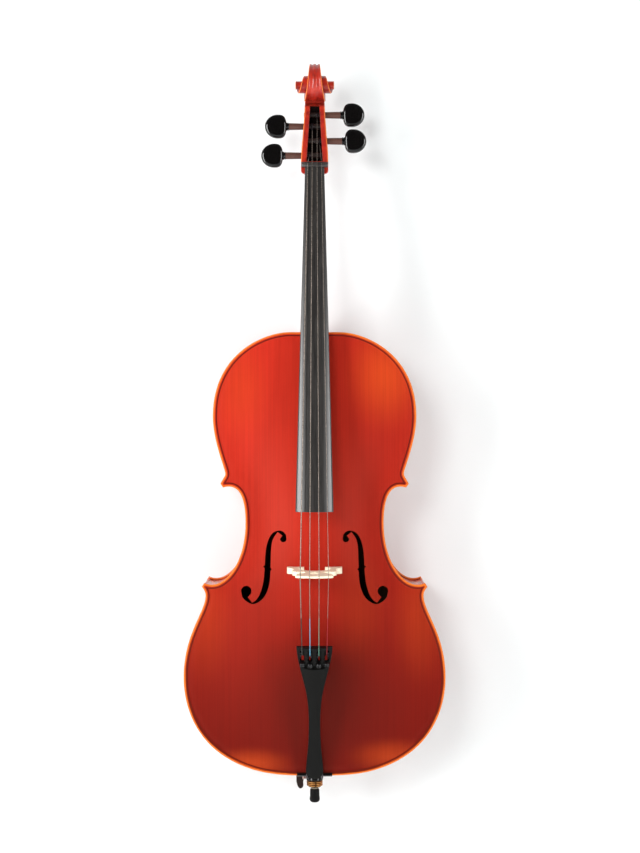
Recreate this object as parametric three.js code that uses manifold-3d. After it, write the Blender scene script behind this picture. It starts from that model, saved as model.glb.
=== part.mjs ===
// A full-size cello, standing on its retracted endpin, as an assembly of separate pieces.
// Millimetres. +Z runs up the instrument, the belly faces -Y, and +X is the treble (A string) side.
// The origin is the middle of the endpin tip's flat underside.
import * as THREE from 'three';
import { mergeVertices } from 'three/addons/utils/BufferGeometryUtils.js';
import Module from 'manifold-3d';

const wasm = await Module();
wasm.setup();

// ---- Driving dimensions ----
const GAP = 0.3; // clearance kept between touching pieces

const BODY_BOTTOM = 59;
const BODY_LENGTH = 755;
const BODY_TOP = BODY_BOTTOM + BODY_LENGTH;
const RIB_HALF_HEIGHT = 58;
const RIB_THICKNESS = 1.8;
const OVERHANG = 4; // plate edge proud of the ribs
const PLATE_THICKNESS = 5;
const BELLY_ARCH = 22;
const BACK_ARCH = 21;
const ARCH_START = 16; // flat edge at each end of the plates, from the body's bottom
const STOP = 352; // bridge line, from the body's bottom

const LINING_THICKNESS = 2.5;
const LINING_HEIGHT = 15;
const POST_RADIUS = 5.5;
const BAR_WIDTH = 10;

const NUT_Z = 1098;
const NUT_HEIGHT = 9;
const NUT_HALF_WIDTH = 22.8;
const NUT_FORWARD = 49.2;
const NECK_PLANE_AT_BODY = 83; // forward distance of the neck's flat front at the body's top
const NECK_PLANE_SLOPE = 0.162;
const BOARD_FORWARD_AT_BODY = 96; // forward distance of the fingerboard's crest there
const BOARD_SLOPE = 0.1725;
const BOARD_END_Z = 512;
const BOARD_RADIUS = 62;
const BOARD_HALF_AT_NUT = 16.5;
const BOARD_HALF_AT_END = 31.5;
const HEEL_SINK = 12; // how far the neck's root is let into the body

const SCROLL_CENTRE = { forward: -18, z: 1250.5 };
const SECOND_TURN = { radius: 15.6, halfWidth: 28.5 };
const SCROLL_EYE = { radius: 7.6, halfWidth: 33.8 };

const PEG_GRIP_INNER = 56; // lowest peg; the others stand a little closer
const PEGS = [
  { name: 'peg_c', side: -1, z: 1121.7, gripInner: PEG_GRIP_INNER },
  { name: 'peg_a', side: 1, z: 1148.6, gripInner: 53 },
  { name: 'peg_g', side: -1, z: 1176, gripInner: 50 },
  { name: 'peg_d', side: 1, z: 1197.5, gripInner: 50 },
];
const PEG_DEPTH = 15; // peg axis behind the pegbox's front edge
const NUT_END = NUT_Z + NUT_HEIGHT;
const PEGBOX_FRONT = 36.9; // forward place of the pegbox's front edges at the nut
const PEG_ROW_SLOPE = 0.382; // how far the row of pegs leans back for each millimetre up
const PEG_GRIP_LENGTH = 35;

const BRIDGE_FOOT_THICKNESS = 11;
const BRIDGE_CROWN_THICKNESS = 3;
const BRIDGE_HEIGHT = 90;
const CROWN_RADIUS = 60;

const TAILPIECE_TILT = 15.9; // degrees from the instrument's length
const TAILPIECE_TOP = { forward: 141, z: 289 };
// Distance below the tailpiece's top edge, and thickness there.
const TAILPIECE_THICKNESS = [[0, 11], [45, 11], [100, 6.5], [200, 6], [242, 5]];
const TAILPIECE_RADIUS = 62;

const SOCKET_RADIUS = 12.5;
const ROD_RADIUS = 5;
const ROD_TOP_Z = 500;
const TIP_HEIGHT = 23;
const COLLAR_BOTTOM = 27;
const COLLAR_TOP = 38;
const COLLAR_RADIUS = 14;
const SCREW_Z = 43;

// Strings from bass to treble: places across the tailpiece, bridge, nut and peg.
const STRINGS = [
  { name: 'c', radius: 0.85, tail: -20.5, bridge: -23.2, nut: -11.7, atPeg: -9.5, peg: 'peg_c' },
  { name: 'g', radius: 0.65, tail: -7.3, bridge: -7.7, nut: -4.2, atPeg: -4.2, peg: 'peg_g' },
  { name: 'd', radius: 0.5, tail: 7.3, bridge: 7.7, nut: 4.2, atPeg: 4.2, peg: 'peg_d' },
  { name: 'a', radius: 0.4, tail: 20.5, bridge: 23.2, nut: 11.7, atPeg: 8, peg: 'peg_a' },
];

// ---- Mesh helpers ----
function closedGeometry(points, triangles) {
  const geometry = new THREE.BufferGeometry();
  geometry.setAttribute('position', new THREE.Float32BufferAttribute(points.flat(), 3));
  geometry.setIndex(triangles.flat());
  return geometry;
}

function solid(geometry) {
  const bare = geometry.clone();
  bare.deleteAttribute('normal');
  bare.deleteAttribute('uv');
  const merged = mergeVertices(bare, 1e-4);
  const mesh = new wasm.Mesh({
    numProp: 3,
    vertProperties: new Float32Array(merged.attributes.position.array),
    triVerts: new Uint32Array(merged.index.array),
  });
  return new wasm.Manifold(mesh);
}

function geometryOf(manifold) {
  const mesh = manifold.getMesh();
  const geometry = new THREE.BufferGeometry();
  geometry.setAttribute('position', new THREE.BufferAttribute(mesh.vertProperties, 3));
  geometry.setIndex(new THREE.BufferAttribute(mesh.triVerts, 1));
  return geometry;
}

// A polygon in the X-Z plane, extruded from the front depth to the back depth along Y.
function prismAlongY(points, yFront, yBack) {
  const shape = new THREE.Shape(points.map(([x, z]) => new THREE.Vector2(x, z)));
  const geometry = new THREE.ExtrudeGeometry(shape, { depth: yBack - yFront, bevelEnabled: false });
  geometry.rotateX(Math.PI / 2);
  geometry.translate(0, yBack, 0);
  return geometry;
}

// A polygon given as [forward, z], extruded along X to a half width on each side.
function prismAlongX(points, halfWidth) {
  const shape = new THREE.Shape(points.map(([forward, z]) => new THREE.Vector2(-forward, z)));
  const geometry = new THREE.ExtrudeGeometry(shape, { depth: 2 * halfWidth, bevelEnabled: false });
  geometry.translate(0, 0, -halfWidth);
  const toYZ = new THREE.Matrix4().makeBasis(
    new THREE.Vector3(0, 1, 0), new THREE.Vector3(0, 0, 1), new THREE.Vector3(1, 0, 0));
  return geometry.applyMatrix4(toYZ);
}

// A polygon given as [x, forward], extruded upwards.
function prismAlongZ(points, bottom, top) {
  const shape = new THREE.Shape(points.map(([x, forward]) => new THREE.Vector2(x, -forward)));
  const geometry = new THREE.ExtrudeGeometry(shape, { depth: top - bottom, bevelEnabled: false });
  geometry.translate(0, 0, bottom);
  return geometry;
}

function box(xRange, forwardRange, zRange) {
  const [x0, x1] = xRange;
  return prismAlongZ([[x0, forwardRange[0]], [x1, forwardRange[0]], [x1, forwardRange[1]],
    [x0, forwardRange[1]]], zRange[0], zRange[1]);
}

// A skin over matching rings of points, closed at both ends by fans.
function loft(rings) {
  const count = rings[0].length;
  const points = rings.flat();
  const triangles = [];
  for (let r = 0; r + 1 < rings.length; r += 1) {
    for (let i = 0; i < count; i += 1) {
      const j = (i + 1) % count;
      const a = r * count + i;
      const b = r * count + j;
      triangles.push([a, b, b + count], [a, b + count, a + count]);
    }
  }
  for (const end of [0, rings.length - 1]) {
    const middle = [0, 1, 2].map((k) => rings[end].reduce((sum, p) => sum + p[k], 0) / count);
    points.push(middle);
    for (let i = 0; i < count; i += 1) {
      const a = end * count + i;
      const b = end * count + ((i + 1) % count);
      triangles.push(end === 0 ? [points.length - 1, b, a] : [points.length - 1, a, b]);
    }
  }
  const volume = triangles.reduce((sum, [a, b, c]) => sum + signedVolume(points[a], points[b], points[c]), 0);
  const outward = volume > 0 ? triangles : triangles.map(([a, b, c]) => [a, c, b]);
  return closedGeometry(points, outward);
}

function signedVolume(a, b, c) {
  const cross = [b[1] * c[2] - b[2] * c[1], b[2] * c[0] - b[0] * c[2], b[0] * c[1] - b[1] * c[0]];
  return (a[0] * cross[0] + a[1] * cross[1] + a[2] * cross[2]) / 6;
}

// A round bar along Z through [radius, z] stations; a bore turns it into a closed ring.
function turned(stations, bore = 0, sides = 20) {
  const last = stations.length - 1;
  const inner = bore > 0 ? bore : 0;
  const profile = [[inner, stations[0][1]], ...stations, [inner, stations[last][1]]];
  if (bore > 0) profile.push([inner, stations[0][1]]);
  const geometry = new THREE.LatheGeometry(profile.map(([r, z]) => new THREE.Vector2(r, z)), sides);
  return geometry.rotateX(Math.PI / 2);
}

function cylinderAlongX(radius, x0, x1, forward, z, sides) {
  const geometry = new THREE.CylinderGeometry(radius, radius, x1 - x0, sides);
  geometry.rotateZ(Math.PI / 2);
  return geometry.translate((x0 + x1) / 2, -forward, z);
}

// Smooth value at position x through [x, value] pairs, with slopes taken from the neighbours.
function smoothThrough(pairs, x) {
  let i = 0;
  while (i < pairs.length - 2 && x > pairs[i + 1][0]) i += 1;
  const slope = (k) => {
    const a = pairs[Math.max(k - 1, 0)];
    const b = pairs[Math.min(k + 1, pairs.length - 1)];
    return (b[1] - a[1]) / (b[0] - a[0]);
  };
  const [x0, v0] = pairs[i];
  const [x1, v1] = pairs[i + 1];
  const span = x1 - x0;
  const t = Math.min(Math.max((x - x0) / span, 0), 1);
  const t2 = t * t;
  const t3 = t2 * t;
  return (2 * t3 - 3 * t2 + 1) * v0 + (t3 - 2 * t2 + t) * span * slope(i)
    + (3 * t2 - 2 * t3) * v1 + (t3 - t2) * span * slope(i + 1);
}

// ---- Scene graph ----
const cello = new THREE.Group();

const finish = (color, roughness, metalness = 0) => ({ color, roughness, metalness });
const VARNISHED_SPRUCE = finish(0xc23a24, 0.3);
const VARNISHED_MAPLE = finish(0xa8442a, 0.3);
const BARE_WOOD = finish(0xe3c9a0, 0.7);
const BRIDGE_WOOD = finish(0xf2dcc0, 0.6);
const EBONY = finish(0x1d1a19, 0.35);
const TAILPIECE_BLACK = finish(0x24221f, 0.5);
const STEEL = finish(0xa7a39c, 0.3, 1);
const BRASS = finish(0xa5814a, 0.35, 1);
const RUBBER = finish(0x17161a, 0.85);
const GUT = finish(0x1a1a1a, 0.5);

function add(name, geometry, look, parent = cello) {
  const mesh = new THREE.Mesh(geometry, new THREE.MeshStandardMaterial(look));
  mesh.name = name;
  parent.add(mesh);
  return mesh;
}

// ---- Body outline: the right half as [x, height above the body's bottom], bottom to top ----
const bezier = (...points) => new THREE.CubicBezierCurve(...points.map(([x, z]) => new THREE.Vector2(x, z)));
const straight = (...points) => new THREE.LineCurve(...points.map(([x, z]) => new THREE.Vector2(x, z)));

const LOWER_BOUT = [
  bezier([0, 0], [44, 0], [74, 1], [104, 10]),
  bezier([104, 10], [213, 43], [223, 134], [223, 167]),
  bezier([223, 167], [223, 241], [185.6, 279], [185.6, 306]),
  bezier([185.6, 306], [185.6, 314], [189.3, 317], [192, 321.5]),
];
const LOWER_CORNER_END = straight([192, 321.5], [188, 328]);
const WAIST = [
  bezier([188, 328], [156.5, 312.3], [117.6, 358.6], [117.6, 430]),
  bezier([117.6, 430], [117.6, 484], [134, 497], [156, 490.4]),
];
const UPPER_CORNER_END = straight([156, 490.4], [160.3, 497]);
const UPPER_BOUT = [
  bezier([160.3, 497], [156, 506], [152, 509.5], [152, 514]),
  bezier([152, 514], [152.5, 523], [173.3, 569], [173.3, 612]),
  bezier([173.3, 612], [173.3, 715], [92, 753], [45, BODY_LENGTH]),
  straight([45, BODY_LENGTH], [0, BODY_LENGTH]),
];
const HALF_OUTLINE = [...LOWER_BOUT, LOWER_CORNER_END, ...WAIST, UPPER_CORNER_END, ...UPPER_BOUT];

// Points at a distance inside the outline, along pieces given as [curve, start, end].
function insetPoints(pieces, inset, divisions = 8) {
  const points = [];
  pieces.forEach(([curve, start, end], index) => {
    const steps = curve instanceof THREE.LineCurve ? 1 : divisions;
    for (let i = index === 0 ? 0 : 1; i <= steps; i += 1) {
      const t = start + ((end - start) * i) / steps;
      const point = curve.getPoint(t);
      const tangent = curve.getTangent(t);
      points.push([point.x - tangent.y * inset, point.y + tangent.x * inset + BODY_BOTTOM]);
    }
  });
  return points;
}

const whole = (curves) => curves.map((curve) => [curve, 0, 1]);
const mirrored = (points, side) => points.map(([x, z]) => [side * x, z]);

// A strip that follows the outline between two insets, extruded through a depth.
function outlineStrip(pieces, nearInset, farInset, yFront, yBack, side = 1, divisions = 8) {
  const near = insetPoints(pieces, nearInset, divisions);
  const far = insetPoints(pieces, farInset, divisions).reverse();
  return prismAlongY(mirrored([...near, ...far], side), yFront, yBack);
}

function outlinePolygon() {
  const half = insetPoints(whole(HALF_OUTLINE), 0, 7);
  const left = mirrored(half.slice(1, -1), -1).reverse();
  return [...half, ...left];
}

// ---- Plates: a flat edge, then an arch that is highest on the centre line ----
// Half width of the arched area at heights above the body's bottom.
const ARCH_HALF_WIDTH = [[0, 90], [30, 130], [60, 163], [110, 196], [167, 207], [240, 192], [300, 166],
  [350, 122], [430, 103], [490, 118], [540, 140], [612, 159], [680, 143], [725, 98], [755, 50]];

function archHeight(x, height, arch) {
  const along = (height - ARCH_START) / (BODY_LENGTH - 2 * ARCH_START);
  if (along <= 0 || along >= 1) return 0;
  const across = Math.abs(x) / smoothThrough(ARCH_HALF_WIDTH, height);
  if (across >= 1) return 0;
  const lengthwise = Math.sin(Math.PI * along) ** 0.6;
  return arch * lengthwise * (0.5 + 0.5 * Math.cos(Math.PI * across)) ** 0.85;
}

// An arched slab wider than the plate, ready to be trimmed to the outline.
function archedSlab(arch, facing) {
  const across = [-1, -0.74, -0.48, -0.23, 0, 0.23, 0.48, 0.74, 1];
  const margin = 50;
  const heights = [-5, ARCH_START, 36, 68, 115, 165, 220, 265, 305, 345, 390, 440, 485, 530, 590, 645,
    690, 720, BODY_LENGTH - ARCH_START, BODY_LENGTH + 5];
  const layer = (thickness) => heights.flatMap((height) => {
    const half = smoothThrough(ARCH_HALF_WIDTH, height);
    const xs = [-half - margin, ...across.map((u) => u * half), half + margin];
    return xs.map((x) => [x, facing * (RIB_HALF_HEIGHT + thickness + archHeight(x, height, arch)),
      height + BODY_BOTTOM]);
  });
  const columns = across.length + 2;
  const perLayer = columns * heights.length;
  const points = [...layer(0), ...layer(PLATE_THICKNESS)];
  const triangles = [];
  const quad = (a, b, c, d) => triangles.push([a, b, c], [a, c, d]);
  for (let r = 0; r + 1 < heights.length; r += 1) {
    for (let c = 0; c + 1 < columns; c += 1) {
      const a = r * columns + c;
      quad(a, a + columns, a + columns + 1, a + 1);
      quad(a + perLayer, a + perLayer + 1, a + perLayer + columns + 1, a + perLayer + columns);
    }
  }
  for (let r = 0; r + 1 < heights.length; r += 1) {
    const a = r * columns;
    const b = a + columns - 1;
    quad(a, a + perLayer, a + perLayer + columns, a + columns);
    quad(b, b + columns, b + columns + perLayer, b + perLayer);
  }
  for (let c = 0; c + 1 < columns; c += 1) {
    const top = (heights.length - 1) * columns + c;
    quad(c, c + 1, c + 1 + perLayer, c + perLayer);
    quad(top, top + perLayer, top + perLayer + 1, top + 1);
  }
  const oriented = facing < 0 ? triangles : triangles.map(([a, b, c]) => [a, c, b]);
  return solid(closedGeometry(points, oriented));
}

// The left sound hole as [x, height from the bridge line]: a curled slot between two round eyes.
const F_UPPER_EYE = { x: -53, z: 51.7, radius: 5.4, from: 175, to: 370 };
const F_LOWER_EYE = { x: -116, z: -37.2, radius: 8.9, from: -45, to: 200 };
const F_OUTER_EDGE = [[-48.5, 59], [-53, 64], [-60, 66], [-69, 63], [-76, 55], [-81.5, 40], [-84, 20],
  [-85, -3], [-87.5, -24], [-92.5, -41], [-99, -51.5], [-105.8, -56.6]];
const F_LOWER_WING = [-113.3, -47.5];
const F_INNER_EDGE = [[-123, -47], [-117, -53.5], [-106, -58.8], [-95, -55.5], [-84.5, -45.5], [-78, -30],
  [-75.2, -12], [-74.5, 13], [-73.5, 36], [-70.8, 50.5], [-62.7, 63.5]];
const F_UPPER_WING = [-54.6, 57.6];

function eyeArc(eye, steps) {
  return Array.from({ length: steps + 1 }, (_, i) => {
    const angle = THREE.MathUtils.degToRad(eye.from + ((eye.to - eye.from) * i) / steps);
    return [eye.x + eye.radius * Math.cos(angle), eye.z + eye.radius * Math.sin(angle)];
  });
}

function soundHole(side) {
  const outline = [...eyeArc(F_UPPER_EYE, 6), ...F_OUTER_EDGE, F_LOWER_WING, ...eyeArc(F_LOWER_EYE, 7),
    ...F_INNER_EDGE, F_UPPER_WING];
  const placed = outline.map(([x, z]) => [-side * x, z + STOP + BODY_BOTTOM]);
  return solid(prismAlongY(placed, -120, -40));
}

// ---- Neck root, shared by the neck and by the pieces it is let into ----
const neckPlane = (z) => NECK_PLANE_AT_BODY - NECK_PLANE_SLOPE * (z - BODY_TOP);
const boardCrest = (z) => BOARD_FORWARD_AT_BODY - BOARD_SLOPE * (z - BODY_TOP);
const boardHalf = (z) => THREE.MathUtils.mapLinear(z, NUT_Z, BOARD_END_Z, BOARD_HALF_AT_NUT, BOARD_HALF_AT_END);
const HEEL_BACK_HALF = 14;

function neckRoot(clearance) {
  const front = boardHalf(BODY_TOP) + clearance;
  const back = HEEL_BACK_HALF + clearance;
  const top = neckPlane(BODY_TOP) + 10;
  const section = [[-back, -RIB_HALF_HEIGHT + GAP - clearance], [back, -RIB_HALF_HEIGHT + GAP - clearance],
    [front, top], [-front, top]];
  return solid(prismAlongZ(section, BODY_TOP - HEEL_SINK - clearance, BODY_TOP + 20));
}

// The saddle sits in a notch of the belly's lower edge.
const SADDLE = { halfWidth: 30, bottom: BODY_BOTTOM - 0.7, top: BODY_BOTTOM + 5.7, forward: 67.5 };

function makeBelly() {
  const trim = solid(prismAlongY(outlinePolygon(), -100, 0));
  const saddleNotch = solid(box([-SADDLE.halfWidth - GAP, SADDLE.halfWidth + GAP], [RIB_HALF_HEIGHT - 5, 100],
    [BODY_BOTTOM - 10, SADDLE.top + GAP]));
  return archedSlab(BELLY_ARCH, -1).intersect(trim).subtract(saddleNotch).subtract(neckRoot(GAP))
    .subtract(soundHole(-1)).subtract(soundHole(1));
}

function makeBack() {
  const button = [[-17, BODY_TOP - 5], [17, BODY_TOP - 5], [17, BODY_TOP + 8], [12, BODY_TOP + 18],
    [0, BODY_TOP + 23], [-12, BODY_TOP + 18], [-17, BODY_TOP + 8]];
  const trim = solid(prismAlongY(outlinePolygon(), 0, 100));
  const buttonSolid = solid(prismAlongY(button, RIB_HALF_HEIGHT, RIB_HALF_HEIGHT + PLATE_THICKNESS));
  return archedSlab(BACK_ARCH, 1).intersect(trim).add(buttonSolid);
}

const belly = makeBelly();
const back = makeBack();
add('belly', geometryOf(belly), VARNISHED_SPRUCE);
add('back', geometryOf(back), VARNISHED_MAPLE);

// ---- Ribs, blocks and linings between the plates ----
const RIB_PIECES = {
  lower: [[LOWER_BOUT[0], 0, 1], [LOWER_BOUT[1], 0, 1], [LOWER_BOUT[2], 0, 1], [LOWER_BOUT[3], 0, 0.5]],
  waist: [[WAIST[0], 0.12, 1], [WAIST[1], 0, 0.84]],
  upper: [[UPPER_BOUT[0], 0.5, 1], [UPPER_BOUT[1], 0, 1], [UPPER_BOUT[2], 0, 1], [UPPER_BOUT[3], 0, 1]],
};
const LINING_PIECES = {
  lower: [[LOWER_BOUT[0], 0.5, 1], [LOWER_BOUT[1], 0, 1], [LOWER_BOUT[2], 0, 0.85]],
  waist: [[WAIST[0], 0.42, 1], [WAIST[1], 0, 0.42]],
  upper: [[UPPER_BOUT[1], 0.3, 1], [UPPER_BOUT[2], 0, 0.95]],
};
const RIB_INNER = OVERHANG + RIB_THICKNESS;
const LINING_INSET = RIB_INNER + 1.3;
const FRONT_Y = -RIB_HALF_HEIGHT + GAP;
const BACK_Y = RIB_HALF_HEIGHT - GAP;

const socketHole = solid(turned([[SOCKET_RADIUS + GAP, BODY_BOTTOM - 20], [SOCKET_RADIUS + GAP, BODY_BOTTOM + 60]]));

function ribSolid(bout, side) {
  const strip = solid(outlineStrip(RIB_PIECES[bout], OVERHANG, RIB_INNER, FRONT_Y, BACK_Y, side, 6));
  if (bout === 'lower') return strip.subtract(socketHole);
  return bout === 'upper' ? strip.subtract(neckRoot(GAP)) : strip;
}

for (const [sideName, side] of [['left', -1], ['right', 1]]) {
  for (const bout of Object.keys(RIB_PIECES)) {
    const rib = add(`${bout}_rib_${sideName}`, geometryOf(ribSolid(bout, side)), VARNISHED_MAPLE);
    rib.position.x = side * GAP / 2;
    for (const [face, yFront] of [['front', FRONT_Y], ['back', BACK_Y - LINING_HEIGHT]]) {
      const lining = outlineStrip(LINING_PIECES[bout], LINING_INSET,
        LINING_INSET + LINING_THICKNESS, yFront, yFront + LINING_HEIGHT, side, 5);
      add(`${bout}_lining_${face}_${sideName}`, lining, BARE_WOOD);
    }
  }
}

// Corner blocks fill the inside of each corner, trimmed clear of the ribs beside them.
const CORNER_BLOCKS = {
  lower: {
    outline: [[176, 300], [182, 300], [190, 321], [186, 326], [170, 326], [148, 334], [143, 326], [158, 312]],
    ribs: [[[LOWER_BOUT[2], 0.5, 1], [LOWER_BOUT[3], 0, 1]], [[WAIST[0], 0, 0.4]]],
  },
  upper: {
    outline: [[146, 540], [150, 525], [151, 510], [158, 498], [154, 492], [144, 493], [134, 490], [126, 497]],
    ribs: [[[UPPER_BOUT[0], 0, 1], [UPPER_BOUT[1], 0, 0.6]], [[WAIST[1], 0.45, 1]]],
  },
};

function cornerBlock(spec, side) {
  const outline = spec.outline.map(([x, z]) => [side * x, z + BODY_BOTTOM]);
  let block = solid(prismAlongY(outline, FRONT_Y, BACK_Y));
  for (const pieces of spec.ribs) {
    block = block.subtract(solid(outlineStrip(pieces, -3, RIB_INNER + GAP, -70, 70, side)));
  }
  return geometryOf(block);
}

for (const [sideName, side] of [['left', -1], ['right', 1]]) {
  add(`lower_corner_block_${sideName}`, cornerBlock(CORNER_BLOCKS.lower, side), BARE_WOOD);
  add(`upper_corner_block_${sideName}`, cornerBlock(CORNER_BLOCKS.upper, side), BARE_WOOD);
}

const END_BLOCK_INSET = RIB_INNER + 1.6;
const bottomBlock = [[-42, BODY_BOTTOM + END_BLOCK_INSET], [42, BODY_BOTTOM + END_BLOCK_INSET],
  [34, BODY_BOTTOM + 30], [-34, BODY_BOTTOM + 30]];
const topBlock = [[-42, BODY_TOP - END_BLOCK_INSET], [42, BODY_TOP - END_BLOCK_INSET],
  [34, BODY_TOP - 32], [-34, BODY_TOP - 32]];
add('bottom_block', geometryOf(solid(prismAlongY(bottomBlock, FRONT_Y, BACK_Y)).subtract(socketHole)), BARE_WOOD);
add('top_block', geometryOf(solid(prismAlongY(topBlock, FRONT_Y, BACK_Y)).subtract(neckRoot(GAP))), BARE_WOOD);

// ---- Bass bar and sound post ----
const BAR = { x: -25, low: 95, high: 665, depth: 24 };

function makeBassBar() {
  const steps = 12;
  const outerEdge = Math.abs(BAR.x) + BAR_WIDTH / 2;
  const top = [];
  const bottom = [];
  for (let i = 0; i <= steps; i += 1) {
    const height = BAR.low + ((BAR.high - BAR.low) * i) / steps;
    const crest = RIB_HALF_HEIGHT + archHeight(outerEdge, height, BELLY_ARCH) - 1;
    top.push([crest, height + BODY_BOTTOM]);
    bottom.unshift([crest - 5 - BAR.depth * 0.75 * Math.sin((Math.PI * i) / steps), height + BODY_BOTTOM]);
  }
  return prismAlongX([...top, ...bottom], BAR_WIDTH / 2).translate(BAR.x, 0, 0);
}
add('bass_bar', makeBassBar(), BARE_WOOD);

const POST = { x: 24, height: STOP - 16 };
const postFront = RIB_HALF_HEIGHT + archHeight(POST.x, POST.height, BELLY_ARCH) - 1.2;
const postBack = RIB_HALF_HEIGHT + archHeight(POST.x, POST.height, BACK_ARCH) - 1.2;
const post = new THREE.CylinderGeometry(POST_RADIUS, POST_RADIUS, postFront + postBack, 12);
const postMesh = add('sound_post', post, BARE_WOOD);
postMesh.position.set(POST.x, (postBack - postFront) / 2, POST.height + BODY_BOTTOM);

// ---- Neck, pegbox and scroll, carved from one piece ----
// Back of the neck as [z, forward]; the first points are the heel.
const NECK_BACK = [[BODY_TOP + GAP, -57.6], [BODY_TOP + 12, -56], [BODY_TOP + 24, -38], [BODY_TOP + 34, 0],
  [BODY_TOP + 46, 34], [BODY_TOP + 62, 47], [BODY_TOP + 90, 46], [1000, 32], [1060, 22], [NUT_Z, 16.5]];

function neckShaft() {
  const arc = [0, 0.12, 0.3, 0.5, 0.7, 0.88, 1];
  const rings = NECK_BACK.map(([z, backForward]) => {
    const half = boardHalf(z);
    const front = neckPlane(z);
    const depth = front - backForward;
    return arc.map((t) => {
      const angle = Math.PI * t;
      const x = half * Math.sign(Math.cos(angle)) * Math.abs(Math.cos(angle)) ** 0.7;
      return [x, -(front - depth * Math.sin(angle) ** 0.8), z];
    });
  });
  return solid(loft(rings));
}

// Side view of pegbox and scroll as [forward, z].
const HEAD_SIDE = [[16.5, 1094], [9, 1105], [0, 1120], [-9, 1145], [-18, 1175], [-27, 1200], [-39, 1220],
  [-50, 1237], [-54, 1253.5], [-50, 1270.5], [-38, 1283], [-20, 1288], [-3, 1284], [9, 1272.5], [15, 1257.5],
  [13, 1241.5], [5, 1228], [-7, 1222], [-4.5, 1213], [PEGBOX_FRONT, NUT_END], [PEGBOX_FRONT, 1094]];
// Front view of the same as [x, z].
const HEAD_FRONT = [[21, 1094], [23.3, 1100], [23.3, 1119], [18.5, 1191], [17.5, 1213], [19, 1222], [17, 1241],
  [13, 1263.5], [8.9, 1289]];
const TROUGH_SIDE = [[60, 1109.5], [16, 1109.5], [12, 1116], [-13, 1186], [-14, 1202], [-6, 1210], [30, 1217]];
const TROUGH_FRONT = [[13.5, 1108], [7.7, 1206], [0, 1211]];

const both = (halfPoints) => [...halfPoints, ...mirrored([...halfPoints].reverse(), -1)];
const pegForward = (z) => PEGBOX_FRONT - PEG_ROW_SLOPE * (z - NUT_END) - PEG_DEPTH;

function pegShaftRings(peg, extra) {
  const stations = [[-20, 4.6], [20, 5.4], [peg.gripInner - 7, 6]];
  const sides = extra > 0 ? 16 : 12;
  return stations.map(([x, radius]) => Array.from({ length: sides }, (_, i) => {
    const angle = (2 * Math.PI * i) / sides;
    const r = radius + extra;
    return [peg.side * x, -pegForward(peg.z) + r * Math.cos(angle), peg.z + r * Math.sin(angle)];
  }));
}

function pegHole(peg) {
  const rings = pegShaftRings(peg, 0.45);
  const longer = rings[0].map(([x, y, z]) => [x - peg.side * 10, y, z]);
  return solid(loft([longer, ...rings.slice(1)]));
}

function disc(spec, sides) {
  return solid(cylinderAlongX(spec.radius, -spec.halfWidth, spec.halfWidth, SCROLL_CENTRE.forward,
    SCROLL_CENTRE.z, sides));
}

function makeNeck() {
  const head = solid(prismAlongX(HEAD_SIDE, 40)).intersect(solid(prismAlongY(both(HEAD_FRONT), -60, 80)));
  const trough = solid(prismAlongX(TROUGH_SIDE, 30)).intersect(solid(prismAlongY(both(TROUGH_FRONT), -80, 60)));
  let neck = neckShaft().add(head).add(disc(SECOND_TURN, 24)).add(disc(SCROLL_EYE, 14));
  neck = neck.add(neckRoot(0).intersect(solid(box([-40, 40], [-60, NECK_PLANE_AT_BODY],
    [BODY_TOP - HEEL_SINK, BODY_TOP + 1]))));
  neck = neck.subtract(trough);
  for (const peg of PEGS) neck = neck.subtract(pegHole(peg));
  return neck;
}
add('neck', geometryOf(makeNeck()), VARNISHED_MAPLE);

function makeFingerboard() {
  const ring = (z) => {
    const half = boardHalf(z);
    const crest = boardCrest(z);
    const edgeDrop = BOARD_RADIUS - Math.sqrt(BOARD_RADIUS ** 2 - half ** 2);
    const under = neckPlane(z) + GAP;
    const arc = [-1, -0.7, -0.35, 0, 0.35, 0.7, 1].map((u) => {
      const x = u * half;
      return [x, -(crest - BOARD_RADIUS + Math.sqrt(BOARD_RADIUS ** 2 - x ** 2)), z];
    });
    return [[half, -Math.min(under, crest - edgeDrop - 3), z], [-half, -Math.min(under, crest - edgeDrop - 3), z],
      ...arc];
  };
  return loft([ring(BOARD_END_Z), ring(NUT_Z - GAP)]);
}
add('fingerboard', makeFingerboard(), EBONY);

const nutSection = [[-NUT_HALF_WIDTH, 37.3], [NUT_HALF_WIDTH, 37.3], [NUT_HALF_WIDTH, 43], [18, 47.5],
  [8, NUT_FORWARD], [-8, NUT_FORWARD], [-18, 47.5], [-NUT_HALF_WIDTH, 43]];
add('nut', prismAlongZ(nutSection, NUT_Z, NUT_Z + NUT_HEIGHT), EBONY);

// ---- Pegs: a tapered shaft, a collar and a flat rounded grip ----
function makePeg(peg) {
  const forward = pegForward(peg.z);
  const grip = peg.gripInner;
  // Each station: distance from the centre line, half thickness along Y, half height along Z.
  const stations = [[-19, 4.6, 4.6], [19, 5.4, 5.4], [grip - 7, 6, 6], [grip - 6.5, 6.5, 6.5],
    [grip - 1.5, 6.5, 6.5], [grip, 5.5, 8], [grip + 3, 6.3, 16], [grip + 12, 6.5, 20], [grip + 23, 6, 19],
    [grip + 31, 5, 12.5], [grip + PEG_GRIP_LENGTH, 3.5, 5]];
  const sides = 12;
  return loft(stations.map(([x, halfY, halfZ]) => Array.from({ length: sides }, (_, i) => {
    const angle = (2 * Math.PI * i) / sides;
    return [peg.side * x, -forward + halfY * Math.cos(angle), peg.z + halfZ * Math.sin(angle)];
  })));
}
for (const peg of PEGS) add(peg.name, makePeg(peg), EBONY);

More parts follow.
